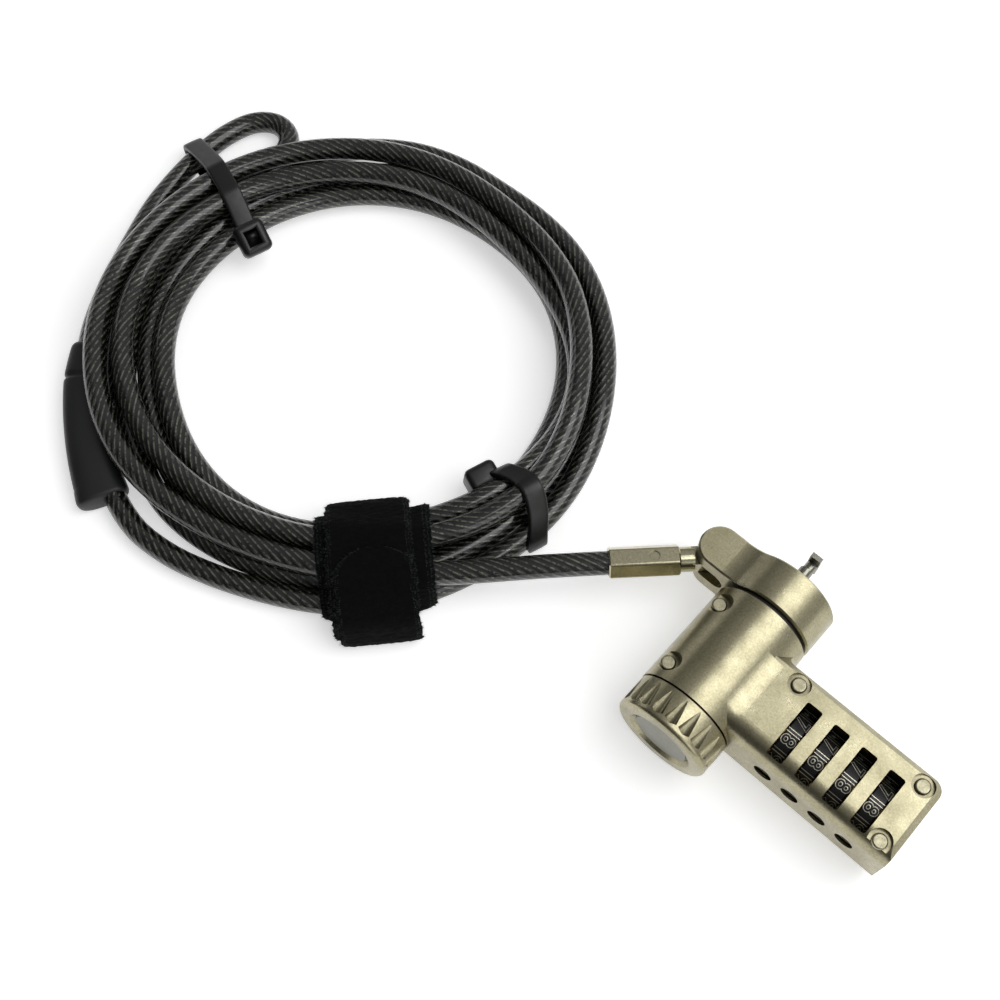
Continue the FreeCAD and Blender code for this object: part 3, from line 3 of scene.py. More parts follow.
import bmesh
import bpy
import numpy as np
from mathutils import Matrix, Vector


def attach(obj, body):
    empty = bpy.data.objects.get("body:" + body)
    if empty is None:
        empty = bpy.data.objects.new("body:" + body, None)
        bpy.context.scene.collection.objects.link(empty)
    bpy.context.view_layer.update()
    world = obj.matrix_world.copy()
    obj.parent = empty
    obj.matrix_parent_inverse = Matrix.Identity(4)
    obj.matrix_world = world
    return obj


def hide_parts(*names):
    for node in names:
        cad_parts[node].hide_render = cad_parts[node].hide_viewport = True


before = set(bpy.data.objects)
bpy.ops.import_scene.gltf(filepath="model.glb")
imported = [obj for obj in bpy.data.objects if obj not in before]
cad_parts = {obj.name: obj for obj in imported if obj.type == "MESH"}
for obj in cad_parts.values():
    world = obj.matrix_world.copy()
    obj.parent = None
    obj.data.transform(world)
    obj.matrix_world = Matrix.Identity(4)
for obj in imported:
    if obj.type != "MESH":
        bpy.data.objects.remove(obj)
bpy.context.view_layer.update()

MM = 0.001              # the shapes below are written in millimetres
TABLE = -10.5           # the height that the coil and the strap lie on
LOWEST = TABLE + 0.02   # made pieces stay above this, clear of the table's plane
CABLE = 5.0             # the covered cable, across


# The camera, where the photograph was taken from.

LENS, SENSOR = 52.146, 36
CAMERA_PLACE = (23.66, -114.47, 274.20)
AZIMUTH, ELEVATION = math.radians(42.06), math.radians(66.39)

camera = bpy.data.objects.new("camera", bpy.data.cameras.new("camera"))
bpy.context.scene.collection.objects.link(camera)
camera.data.lens = LENS
camera.data.sensor_width = SENSOR
camera.data.clip_start = 0.01
camera.location = Vector(CAMERA_PLACE) * MM
looks_along = Vector((-math.sin(AZIMUTH) * math.cos(ELEVATION),
                      math.cos(AZIMUTH) * math.cos(ELEVATION), -math.sin(ELEVATION)))
camera.rotation_euler = looks_along.to_track_quat("-Z", "Y").to_euler()
bpy.context.scene.camera = camera


# Materials.

def linear(code):
    """An sRGB hex colour as linear RGBA."""
    channels = [int(code[i:i + 2], 16) / 255 for i in (1, 3, 5)]
    curved = [c / 12.92 if c <= 0.04045 else ((c + 0.055) / 1.055) ** 2.4 for c in channels]
    return (*curved, 1.0)


def add(tree, kind, sockets=None, **settings):
    """Adds a node: settings are its properties, sockets its inputs, each a value or a link."""
    made = tree.nodes.new(kind)
    for name, value in settings.items():
        setattr(made, name, value)
    for key, value in (sockets or {}).items():
        if isinstance(value, bpy.types.NodeSocket):
            tree.links.new(value, made.inputs[key])
        else:
            made.inputs[key].default_value = value
    return made


def new_material(name):
    """An empty node material and its tree."""
    made = bpy.data.materials.new(name)
    made.use_nodes = True
    made.node_tree.nodes.clear()
    return made, made.node_tree


def patches_and_grain(tree, mottle_mm, grain_mm, grain_depth_mm, rough_low, rough_high):
    """What each metal and plastic here shares: its patches, grain, patchy gloss and relief.

    The patches are noise of mottle_mm, where the gloss is higher and lower; the grain is
    noise of grain_mm, raised by grain_depth_mm.
    """
    place = add(tree, "ShaderNodeTexCoord").outputs["Object"]
    patches = add(tree, "ShaderNodeTexNoise", {
        "Vector": place, "Scale": 1 / (mottle_mm * MM), "Detail": 4.0, "Roughness": 0.6})
    grain = add(tree, "ShaderNodeTexNoise", {
        "Vector": place, "Scale": 1 / (grain_mm * MM), "Detail": 3.0, "Roughness": 0.65})
    gloss = add(tree, "ShaderNodeMapRange", {
        "Value": patches.outputs["Fac"], "From Min": 0.3, "From Max": 0.7,
        "To Min": rough_high, "To Max": rough_low})
    relief = add(tree, "ShaderNodeBump", {
        "Height": grain.outputs["Fac"], "Distance": grain_depth_mm * MM, "Strength": 1.0})
    return (patches.outputs["Fac"], grain.outputs["Fac"], gloss.outputs["Result"],
            relief.outputs["Normal"])


# Painted shade in inner corners: how far it reaches, and its colour.
CORNER_REACH = 1.4          # in mm
PAINTED_CORNER_SHADE = "#2e2a1f"


def metal(name, light, dark, rough_low, rough_high, mottle_mm, grain_mm, grain_depth_mm):
    """Plated metal: two near tones in soft patches, patchy gloss and a fine grain.

    Inner corners within CORNER_REACH of another face are darker: painted shade, from ambient
    occlusion.
    """
    made, tree = new_material(name)
    patches, grain, gloss, relief = patches_and_grain(
        tree, mottle_mm, grain_mm, grain_depth_mm, rough_low, rough_high)
    mottle = add(tree, "ShaderNodeMath", {0: grain, 1: 1.5, 2: patches},
                 operation="MULTIPLY_ADD")
    share = add(tree, "ShaderNodeMapRange", {
        "Value": mottle.outputs[0], "From Min": 0.85, "From Max": 1.65})
    plating = add(tree, "ShaderNodeMix", {
        0: share.outputs["Result"], 6: linear(dark), 7: linear(light)}, data_type="RGBA")
    # Painted shade: ambient occlusion darkens the colour in inner corners.
    corners = add(tree, "ShaderNodeAmbientOcclusion", {"Distance": CORNER_REACH * MM},
                  samples=8)
    unshaded_share = add(tree, "ShaderNodeMapRange", {
        "Value": corners.outputs["AO"], "From Min": 0.25, "From Max": 0.85,
        "To Min": 0.35, "To Max": 1.0})
    tone = add(tree, "ShaderNodeMix", {
        0: unshaded_share.outputs["Result"], 6: linear(PAINTED_CORNER_SHADE), 7: plating.outputs[2]},
        data_type="RGBA")
    surface = add(tree, "ShaderNodeBsdfPrincipled", {
        "Base Color": tone.outputs[2], "Metallic": 1.0, "Roughness": gloss, "Normal": relief})
    add(tree, "ShaderNodeOutputMaterial", {"Surface": surface.outputs["BSDF"]})
    return made


def plastic(name, light, dark, rough_low, rough_high, mottle_mm, grain_mm, grain_depth_mm,
            specular=0.5, sheen=0.0, coat=0.0):
    """Moulded or painted skin: two near tones in patches, patchy gloss, fine grain."""
    made, tree = new_material(name)
    patches, _, gloss, relief = patches_and_grain(
        tree, mottle_mm, grain_mm, grain_depth_mm, rough_low, rough_high)
    tone = add(tree, "ShaderNodeMix", {
        0: patches, 6: linear(dark), 7: linear(light)}, data_type="RGBA")
    surface = add(tree, "ShaderNodeBsdfPrincipled", {
        "Base Color": tone.outputs[2], "Roughness": gloss, "IOR": 1.5,
        "Specular IOR Level": specular, "Sheen Weight": sheen, "Coat Weight": coat,
        "Coat Roughness": 0.1, "Normal": relief})
    add(tree, "ShaderNodeOutputMaterial", {"Surface": surface.outputs["BSDF"]})
    return made


# Die-cast zinc, tumbled and satin nickel plated: warm champagne grey with soft broad
# highlights and a faint orange peel.
satin_nickel = metal("satin_nickel_on_zinc", "#b2ac90", "#8e886d", 0.25, 0.35, 5.0, 0.4, 0.014)
# The same plating on the turned and drawn pieces: smoother and glossier.
bright_nickel = metal("bright_nickel_on_brass", "#c2bca0", "#a8a286", 0.12, 0.2, 3.0, 0.6, 0.003)
# Plated steel of the nose, pins and springs: whiter, with fine machining haze.
plated_steel = metal("zinc_plated_steel", "#9c9b8e", "#75746a", 0.18, 0.3, 1.5, 0.25, 0.003)
# Upset rivet heads: duller, because the peening tool flattens the plating.
peened_rivet = metal("peened_rivet_steel", "#b4af96", "#8f8a72", 0.3, 0.45, 0.8, 0.35, 0.012)
# Turned brass code rings, out of sight in the dials.
turned_brass = metal("turned_brass", "#d9b36a", "#c39a50", 0.2, 0.32, 1.0, 0.2, 0.002)
# Brushed, greyed end disc: matt, so it looks like one soft grey.
matt_disc = metal("matt_nickel_disc", "#97978e", "#88887f", 0.42, 0.5, 5.0, 0.4, 0.004)
# Black chromated dials: a deep black with a soft, slightly uneven gloss.
black_dial = plastic("black_chromated_zinc", "#101012", "#070708", 0.25, 0.4, 0.6, 0.2, 0.004,
                     specular=0.35, coat=0.15)
# Painted highlight: bright metal rims on the raised figures and rib edges, for their glints.
edge_glint_metal = metal("painted_edge_glint_metal", "#efeada", "#b5b09a", 0.3, 0.45, 0.3, 0.15, 0.004)
# Dark acetal washer between the arm and the body.
dark_washer = plastic("dark_acetal", "#2c2a22", "#1b1a15", 0.4, 0.55, 2.0, 0.3, 0.003)
# Injection-moulded black nylon: half gloss, slightly uneven.
black_nylon = plastic("black_nylon", "#0f100e", "#080908", 0.3, 0.42, 2.0, 0.35, 0.004)
# Moulded rubber-like sleeve: matt black with fine spark-eroded grain.
black_moulding = plastic("black_soft_pvc", "#1c1d1d", "#121313", 0.4, 0.52, 3.0, 0.3, 0.008)
# Hook-and-loop nap: no gloss, fine fibres that catch light at the rim.
nap = plastic("hook_and_loop_nap", "#0f100f", "#060706", 0.85, 0.95, 0.9, 0.22, 0.15,
              specular=0.06, sheen=0.03)
# Loose loops and cut fibres at the nap's edges, in a lighter grey: painted highlight.
nap_fibre = plastic("hook_and_loop_fibre", "#4a5352", "#232827", 0.6, 0.8, 2.0, 0.3, 0.01,
                    specular=0.3)


LAY_MM = 28.0           # one turn of the rope's strands along the cable
STRANDS = 12
STRAND_RELIEF = 0.05    # how far the cover sinks between two strands


def covered_rope(name):
    """Steel rope under a smoke-clear PVC cover: fine bright wires on black, under a gloss.

    UV U is the distance along the cable in lays and V the way round it, so U - V is the same
    all along a strand. A cosine of it, cut off low, is the lit wire on each strand, which is
    metal. Noise of 0.8 mm breaks it into dashes, and noise of 6 mm dims it in clouds, where
    the cover is smoky. The rest is black, and the smooth clear coat over both is the cover.
    """
    made, tree = new_material(name)
    uv = add(tree, "ShaderNodeUVMap", uv_map="along")
    ways = add(tree, "ShaderNodeSeparateXYZ", {0: uv.outputs["UV"]})
    turns = add(tree, "ShaderNodeMath", {0: ways.outputs[0], 1: ways.outputs[1]},
                operation="SUBTRACT")
    angle = add(tree, "ShaderNodeMath", {0: turns.outputs[0], 1: STRANDS * 2 * math.pi},
                operation="MULTIPLY")
    strand = add(tree, "ShaderNodeMath", {0: angle.outputs[0]}, operation="COSINE")
    place = add(tree, "ShaderNodeTexCoord").outputs["Object"]
    specks = add(tree, "ShaderNodeTexNoise", {
        "Vector": place, "Scale": 1 / (0.8 * MM), "Detail": 2.0, "Roughness": 0.5})
    clouds = add(tree, "ShaderNodeTexNoise", {
        "Vector": place, "Scale": 1 / (6 * MM), "Detail": 3.0, "Roughness": 0.6})
    lit = add(tree, "ShaderNodeMapRange", {
        "Value": strand.outputs[0], "From Min": 0.35, "From Max": 0.95})
    dashes = add(tree, "ShaderNodeMapRange", {
        "Value": specks.outputs["Fac"], "From Min": 0.38, "From Max": 0.6})
    broken = add(tree, "ShaderNodeMath", {0: lit.outputs["Result"], 1: dashes.outputs["Result"]},
                 operation="MULTIPLY")
    wire = add(tree, "ShaderNodeMath", {0: broken.outputs[0], 1: clouds.outputs["Fac"]},
               operation="MULTIPLY")
    tone = add(tree, "ShaderNodeMix", {
        0: wire.outputs[0], 6: linear("#090a08"), 7: linear("#9a9c8b")}, data_type="RGBA")
    relief = add(tree, "ShaderNodeBump", {
        "Height": strand.outputs[0], "Distance": 0.09 * MM, "Strength": 1.0})
    surface = add(tree, "ShaderNodeBsdfPrincipled", {
        "Base Color": tone.outputs[2], "Metallic": wire.outputs[0], "Roughness": 0.3,
        "IOR": 1.5, "Specular IOR Level": 0.15, "Coat Weight": 1.0, "Coat Roughness": 0.13,
        "Coat IOR": 1.55, "Normal": relief.outputs["Normal"]})
    add(tree, "ShaderNodeOutputMaterial", {"Surface": surface.outputs["BSDF"]})
    return made


clear_covered_rope = covered_rope("smoke_clear_pvc_over_steel_rope")

FINISH_OF = {
    satin_nickel: ["front_shell", "back_shell", "swivel_arm", "knob"],
    bright_nickel: ["cable_ferrule", "cable_end_fitting"],
    plated_steel: ["nose_guide", "t_bar", "pivot_pin", "lock_spindle", "dial_shaft",
                   "shaft_spring", "detent_spring"],
    peened_rivet: ["shell_rivets"],
    matt_disc: ["knob_end_disc"],
    black_dial: ["dial_1", "dial_2", "dial_3", "dial_4"],
    turned_brass: ["code_ring_1", "code_ring_2", "code_ring_3", "code_ring_4"],
    dark_washer: ["arm_washer"],
    black_nylon: ["cable_tie_1", "cable_tie_2"],
    black_moulding: ["eye_sleeve"],
    nap: ["wrap_strap"],
    clear_covered_rope: ["cable_lead", "cable_coil", "cable_tail", "cable_eye"],
}
for finish, names in FINISH_OF.items():
    for name in names:
        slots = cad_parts[name].data.materials
        slots.clear()
        slots.append(finish)


# What more than one piece is made with.

def circle(count):
    """Points on the circle of radius 1, evenly spaced."""
    turn = np.linspace(0, 2 * math.pi, count, endpoint=False)
    return np.stack([np.cos(turn), np.sin(turn)], axis=1)


def new_piece(name, points, faces, finish, smooth=True):
    """A piece of its own from points in mm and faces, in one finish."""
    mesh = bpy.data.meshes.new(name)
    mesh.from_pydata((points * MM).tolist(), [], faces)
    mesh.polygons.foreach_set("use_smooth", np.full(len(mesh.polygons), smooth))
    mesh.materials.append(finish)
    made = bpy.data.objects.new(name, mesh)
    bpy.context.scene.collection.objects.link(made)
    return made


def skin_of(name, grid, finish, closed_along=False, uv_along=None):
    """A surface over a grid of points in mm, rows along the piece and columns round it.

    Each cell of the grid is one four-sided face; open ends are closed by one flat face.
    With uv_along, a UV map "along" holds that value for each row and the way round, 0 to 1.
    """
    rows, columns = grid.shape[:2]
    row_steps = rows if closed_along else rows - 1
    i, j = np.meshgrid(np.arange(row_steps), np.arange(columns), indexing="ij")
    i, j = i.ravel(), j.ravel()
    i_next, j_next = (i + 1) % rows, (j + 1) % columns
    faces = np.stack([i * columns + j, i * columns + j_next,
                      i_next * columns + j_next, i_next * columns + j], axis=1).tolist()
    if not closed_along:
        faces.append(list(range(columns))[::-1])
        faces.append(list(range((rows - 1) * columns, rows * columns)))
    made = new_piece(name, grid.reshape(-1, 3), faces, finish)
    if uv_along is not None:
        here_u, next_u = uv_along[i], uv_along[i_next]
        around, next_around = j / columns, (j + 1) / columns
        corners = np.stack([here_u, around, here_u, next_around,
                            next_u, next_around, next_u, around], axis=1).ravel()
        values = np.zeros(len(made.data.loops) * 2)
        values[:len(corners)] = corners
        made.data.uv_layers.new(name="along").data.foreach_set("uv", values)
    return made


def face_out(piece):
    """Turns every face of a closed piece outwards."""
    work = bmesh.new()
    work.from_mesh(piece.data)
    bmesh.ops.recalc_face_normals(work, faces=work.faces)
    work.to_mesh(piece.data)
    work.free()


def points_of(mesh):
    """The points of a mesh, one a row."""
    points = np.zeros(len(mesh.vertices) * 3)
    mesh.vertices.foreach_get("co", points)
    return points.reshape(-1, 3)


def spline_line(name, points):
    """The points along a NURBS curve of order 3 whose control points are the route, in mm."""
    curve = bpy.data.curves.new(name, "CURVE")
    curve.dimensions = "3D"
    curve.resolution_u = 10
    spline = curve.splines.new("NURBS")
    spline.points.add(len(points) - 1)
    weighted = np.ones((len(points), 4))
    weighted[:, :3] = points
    spline.points.foreach_set("co", weighted.ravel())
    spline.order_u = 3
    spline.use_endpoint_u = True
    holder = bpy.data.objects.new(name, curve)
    line_mesh = bpy.data.meshes.new_from_object(holder)
    line = points_of(line_mesh)
    bpy.data.objects.remove(holder)
    bpy.data.meshes.remove(line_mesh)
    return line


def distances(line):
    """The distance along a line to each of its points."""
    return np.concatenate([[0], np.cumsum(np.linalg.norm(np.diff(line, axis=0), axis=1))])


def points_at(line, far, at):
    """The points of a line at these distances along it."""
    return np.stack([np.interp(at, far, values) for values in line.T], axis=1)


def section_grid(line, aside, rise):
    """Sections carried along a line that lies nearly flat.

    aside and rise say how far each of their points is to the left of the line and above it.
    """
    along = np.gradient(line, axis=0)
    along /= np.linalg.norm(along, axis=1)[:, None]
    left = np.cross([0.0, 0.0, 1.0], along)
    left /= np.linalg.norm(left, axis=1)[:, None]
    up = np.cross(along, left)
    return (line[:, None, :] + aside[:, :, None] * left[:, None, :]
            + rise[:, :, None] * up[:, None, :])


# The cable and its eye.

CABLE_STEP, EYE_STEP = 1.3, 1.0
CABLE_COLUMNS = 36


def cable_piece(name, line, step):
    """A tube round the line, and its points: half the cable thick, lifted over each strand."""
    far = distances(line)
    at = np.linspace(0, far[-1], int(round(far[-1] / step)) + 1)
    points = points_at(line, far, at)
    turn = np.linspace(0, 2 * math.pi, CABLE_COLUMNS, endpoint=False)
    strand = np.cos(STRANDS * (turn[None, :] - 2 * math.pi * at[:, None] / LAY_MM))
    radius = CABLE / 2 - STRAND_RELIEF * (1 - strand) / 2
    grid = section_grid(points, radius * np.cos(turn), radius * np.sin(turn))
    return skin_of(name, grid, clear_covered_rope, uv_along=at / LAY_MM), points


# The route of the cable from the ferrule: round and inwards on top, then outwards on the
# table, and on to the sleeve. The turns were traced from the photograph, carried down to the
# height at which each lies, and eased apart where strands would touch.
CABLE_POINTS = [
    (-24.4, -14.5, 0.0), (-32.9, -23.0, 0.0), (-41.3, -31.5, -0.1), (-49.7, -40.1, -0.9),
    (-58.4, -48.4, -1.5), (-67.8, -55.9, -1.9), (-78.0, -62.2, -2.2), (-89.0, -67.1, -2.3),
    (-100.5, -70.4, -2.2), (-112.5, -71.8, -2.1), (-124.5, -70.6, -2.0), (-135.7, -66.2, -1.9),
    (-145.5, -59.2, -2.0), (-153.6, -50.3, -2.2), (-159.2, -39.6, -2.4), (-161.8, -27.8, -2.5),
    (-161.6, -15.8, -2.3), (-158.9, -4.1, -2.2), (-153.7, 6.8, -2.4), (-146.2, 16.3, -2.8),
    (-136.7, 23.7, -2.8), (-125.6, 28.2, -2.5), (-113.7, 30.0, -2.0), (-101.7, 29.4, -1.1),
    (-89.9, 27.2, 0.2), (-78.9, 22.5, 1.8), (-69.4, 15.1, 2.4), (-61.7, 5.8, 2.2),
    (-56.0, -4.8, 1.6), (-53.5, -16.5, 0.4), (-55.6, -28.4, -1.0), (-61.0, -39.1, -1.7),
    (-68.8, -48.3, -2.1), (-78.2, -55.8, -2.4), (-88.8, -61.5, -2.6), (-100.3, -65.0, -2.4),
    (-112.3, -65.9, -2.2), (-124.2, -64.0, -2.1), (-135.3, -59.2, -2.0), (-144.8, -51.7, -2.1),
    (-151.9, -42.0, -2.2), (-155.7, -30.5, -2.2), (-156.0, -18.5, -2.4), (-153.2, -6.7, -2.4),
    (-147.5, 3.9, -2.4), (-139.6, 13.0, -2.4), (-129.7, 19.9, -2.3), (-118.3, 23.7, -2.2),
    (-106.3, 24.6, -2.3), (-94.3, 23.5, -2.5), (-82.6, 20.8, -2.6), (-71.6, 15.8, -2.7),
    (-62.9, 7.4, -3.0), (-58.3, -3.8, -3.1), (-57.7, -15.9, -2.6), (-60.3, -27.7, -2.5),
    (-65.9, -38.3, -3.7), (-73.3, -47.6, -5.8), (-82.5, -55.3, -7.1), (-93.4, -60.5, -7.4),
    (-105.3, -62.3, -6.8), (-117.1, -60.1, -5.4), (-127.8, -54.6, -4.1), (-137.1, -47.0, -3.8),
    (-144.1, -37.2, -4.4), (-147.6, -25.6, -5.2), (-147.8, -13.6, -5.8), (-144.8, -1.9, -6.2),
    (-138.8, 8.6, -6.6), (-130.3, 17.1, -7.0), (-119.7, 22.9, -7.3), (-107.9, 25.5, -7.3),
    (-95.8, 25.5, -7.3), (-84.1, 22.5, -7.3), (-73.9, 16.1, -7.3), (-66.1, 6.9, -7.3),
    (-61.1, -4.1, -7.3), (-59.0, -16.0, -7.3), (-59.5, -28.0, -7.3), (-62.7, -39.8, -7.3),
    (-69.1, -49.9, -7.3), (-77.8, -58.3, -7.3), (-88.5, -63.9, -7.3), (-100.2, -66.8, -7.3),
    (-112.3, -66.7, -7.3), (-123.4, -62.0, -7.3), (-133.3, -55.4, -7.3), (-142.8, -47.1, -7.3),
    (-149.3, -37.0, -7.3), (-152.5, -25.3, -7.3), (-153.2, -13.3, -7.3), (-150.6, -1.5, -7.3),
    (-144.8, 9.0, -7.3), (-137.6, 19.0, -7.3), (-127.7, 26.3, -7.3), (-115.8, 29.4, -7.3),
    (-103.8, 30.5, -7.3), (-91.8, 29.8, -7.3), (-80.3, 26.4, -7.3), (-70.1, 19.9, -7.3),
    (-62.1, 10.9, -7.3), (-56.5, 0.2, -7.3), (-53.7, -11.6, -7.3), (-53.8, -23.6, -7.2),
    (-55.9, -35.3, -7.2), (-60.8, -46.5, -7.2), (-68.0, -56.1, -7.1), (-77.4, -63.7, -7.1),
    (-88.2, -69.0, -7.2), (-100.0, -71.9, -7.3), (-112.0, -71.8, -7.3), (-123.4, -67.7, -7.2),
    (-134.1, -62.0, -7.0), (-142.9, -53.5, -7.1), (-150.9, -44.3, -7.1), (-155.9, -33.2, -7.0),
    (-158.3, -21.4, -6.8), (-157.9, -9.3, -6.9), (-155.8, 2.5, -7.2), (-151.1, 13.6, -7.3),
    (-143.6, 23.1, -7.3), (-133.9, 30.3, -7.1), (-122.4, 33.7, -6.2), (-110.4, 33.9, -4.7),
    (-98.4, 33.9, -3.7), (-86.6, 32.0, -3.2), (-75.6, 27.1, -3.0), (-66.1, 19.6, -3.0),
    (-58.4, 10.4, -3.4), (-52.5, -0.1, -4.2), (-48.9, -11.6, -5.3), (-48.5, -23.5, -6.6),
    (-50.8, -35.2, -7.5), (-55.1, -46.4, -7.9), (-61.6, -56.6, -8.0), (-70.5, -64.7, -8.0),
    (-80.9, -70.8, -8.0), (-91.8, -75.7, -7.9), (-103.4, -79.2, -7.7), (-115.5, -79.5, -7.5),
    (-126.6, -74.8, -7.4)]
# The eye: out of the sleeve, round the loop and back into the sleeve.
EYE_POINTS = [
    (-139.9, -67.4, -7.4), (-145.6, -63.5, -7.4), (-150.2, -58.5, -7.5), (-154.5, -53.3, -7.7),
    (-158.0, -47.6, -7.8), (-161.0, -41.4, -7.9), (-163.7, -35.1, -7.9), (-166.2, -28.6, -7.9),
    (-168.7, -22.0, -7.9), (-170.2, -15.1, -7.9), (-171.2, -8.2, -7.9), (-171.6, -1.3, -7.9),
    (-171.0, 5.4, -7.9), (-168.9, 11.4, -7.9), (-164.3, 14.8, -7.9), (-159.3, 13.8, -7.9),
    (-156.8, 9.4, -7.9), (-157.5, 3.6, -7.9), (-159.4, -2.6, -8.0), (-161.3, -9.0, -8.0),
    (-162.5, -15.6, -8.0), (-162.8, -22.4, -8.0), (-161.4, -29.3, -8.0), (-159.4, -35.6, -8.0),
    (-156.9, -41.5, -8.0), (-153.6, -47.2, -7.9), (-149.6, -52.4, -7.7), (-145.0, -57.2, -7.5),
    (-141.4, -60.4, -7.4), (-135.8, -64.3, -7.4)]

cable, cable_path = cable_piece("cable", spline_line("cable_route", CABLE_POINTS), CABLE_STEP)
eye, eye_path = cable_piece("eye_cable", spline_line("eye_route", EYE_POINTS), EYE_STEP)


# The moulded sleeve that holds the eye closed.

SLEEVE_POINTS = np.array([(-120.8, -79.6, -7.4), (-136.9, -69.6, -7.4), (-151.3, -55.8, -7.4)])
SLEEVE_WIDE, SLEEVE_HIGH = 10.8, 6.2
SLEEVE_ROWS, SLEEVE_COLUMNS = 160, 56
OVAL_POWER = 2.6
BELL_RISE, BELL_SHARE = 0.35, 0.1
RING_AT, RING_DEEP, RING_WIDE = 0.78, 0.5, 0.5
TAPER_SHARE = 0.2
END_ROUND = 1.6


def arc_through(ends, count):
    """Points on the circle through three points that lie at one height, and its length."""
    (x1, y1), (x2, y2), (x3, y3) = ends[:, :2]
    lines = np.array([[x2 - x1, y2 - y1], [x3 - x1, y3 - y1]])
    sums = np.array([x2 ** 2 - x1 ** 2 + y2 ** 2 - y1 ** 2,
                     x3 ** 2 - x1 ** 2 + y3 ** 2 - y1 ** 2]) / 2
    middle = np.linalg.solve(lines, sums)
    radius = math.hypot(x1 - middle[0], y1 - middle[1])
    first, last = (math.atan2(y - middle[1], x - middle[0]) for x, y in ((x1, y1), (x3, y3)))
    sweep = (last - first + math.pi) % (2 * math.pi) - math.pi
    heading = first + np.linspace(0, sweep, count)
    return np.stack([middle[0] + radius * np.cos(heading), middle[1] + radius * np.sin(heading),
                     np.full(count, ends[0, 2])], axis=1), radius * abs(sweep)


def make_sleeve():
    """A flattened oval carried along the arc, rounded at its ends by a quarter circle.

    The oval is a superellipse of OVAL_POWER. It grows by BELL_RISE into a soft bell over the
    first BELL_SHARE of the length, has one narrow ring groove at RING_AT, and from there gets
    narrower by TAPER_SHARE, in a straight line.
    """
    line, length = arc_through(SLEEVE_POINTS, SLEEVE_ROWS)
    far = np.linspace(0, length, SLEEVE_ROWS)
    bell = BELL_RISE * np.clip(1 - far / (BELL_SHARE * length), 0, 1) ** 0.5
    ring = -RING_DEEP * np.exp(-((far - RING_AT * length) / RING_WIDE) ** 2)
    from_end = np.clip(np.minimum(far, length - far) / END_ROUND, 0, 1)
    rounding = END_ROUND * (np.sqrt(1 - (1 - from_end) ** 2) - 1)
    offset = bell + ring + rounding
    taper = 1 - TAPER_SHARE * np.clip((far / length - RING_AT) / (1 - RING_AT), 0, 1)
    half_wide = SLEEVE_WIDE / 2 * taper + offset
    half_high = np.minimum(SLEEVE_HIGH / 2 + offset, line[:, 2] - TABLE)
    wide, high = (np.sign(value) * np.abs(value) ** (2 / OVAL_POWER)
                  for value in circle(SLEEVE_COLUMNS).T)
    grid = section_grid(line, half_wide[:, None] * wide, half_high[:, None] * high)
    made = skin_of("moulded_sleeve", grid, black_moulding)
    face_out(made)
    return made


sleeve = make_sleeve()


# Bands round the bundle: what the ties and the strap share.

RING_POINTS = 48
DIRECTIONS = 14400


def crossings(paths, middle, heading, low, high, beside=0.0):
    """Where the cables cross an upright plane: their distance out, and their height.

    The plane runs through the middle at the heading, or this far beside that.
    """
    out = np.array([math.cos(heading), math.sin(heading)])
    aside = np.array([-math.sin(heading), math.cos(heading)])
    found = []
    for path in paths:
        away = path[:, :2] - np.array(middle)
        side, u = away @ aside - beside, away @ out
        here = np.nonzero((side[:-1] * side[1:] <= 0) & (u[:-1] > low) & (u[:-1] < high))[0]
        share = (side[here] / (side[here] - side[here + 1]))[:, None]
        both = np.stack([u, path[:, 2]], axis=1)
        found.append(both[here] * (1 - share) + both[here + 1] * share)
    return np.concatenate(found)


def round_them(centres, radius, count):
    """The tight closed line round circles of this radius, as evenly spaced points.

    It is the convex hull of RING_POINTS on every circle: of these, the one that lies farthest
    out in each of many DIRECTIONS, in turn. It starts at the middle of its outer side and
    runs over the top, inwards. The second value is the spacing of its points.
    """
    points = (centres[:, None, :] + radius * circle(RING_POINTS)).reshape(-1, 2)
    hull = points[(points @ circle(DIRECTIONS).T).argmax(axis=0)]
    way = hull - (hull.min(0) + hull.max(0)) / 2
    hull = np.roll(hull, -int(np.abs(np.arctan2(way[:, 1], way[:, 0])).argmin()), axis=0)
    closed = np.vstack([hull, hull[:1]])
    far = distances(closed)
    at = np.linspace(0, far[-1], count, endpoint=False)
    return points_at(closed, far, at), at[1]


def outward(line):
    """The outward side of each point of a closed line that runs counter-clockwise."""
    flow = np.roll(line, -1, axis=0) - np.roll(line, 1, axis=0)
    flow /= np.linalg.norm(flow, axis=1)[:, None]
    return np.stack([flow[:, 1], -flow[:, 0]], axis=1)


def stand_up(middle, heading, u, side, z):
    """Points from their distance out, their distance aside and their height, off the table."""
    cos, sin = math.cos(heading), math.sin(heading)
    return np.stack([middle[0] + u * cos - side * sin, middle[1] + u * sin + side * cos,
                     np.maximum(z, LOWEST)], axis=-1)


# The two nylon ties.

TIE_WIDE, TIE_THICK = 4.6, 1.3
TIE_ROWS = 360
TIE_GAP = 0.1
TEETH_PITCH, TEETH_RISE = 0.9, 0.16
# The band's section. Across the outer face it is a low crown with rounded edges, in shares of
# half the width and of the thickness. Back across the inner face it has a smooth rim on each
# side, as shares of half the width and as heights in mm, with the teeth between.
CROWN_ACROSS = np.array([-1, -0.97, -0.88, -0.7, -0.3, 0.3, 0.7, 0.88, 0.97, 1.0])
CROWN_RISE = np.array([0.62, 0.85, 0.97, 1, 1.03, 1.03, 1, 0.97, 0.85, 0.62])
INNER_ACROSS = np.array([1, 0.95, 0.6, 0.58, -0.58, -0.6, -0.95, -1])
INNER_RISE = np.array([0.3, 0.02, 0.02, 0, 0, 0.02, 0.02, 0.3])
INNER_TOOTHED = np.array([0, 0, 0, 1, 1, 0, 0, 0])

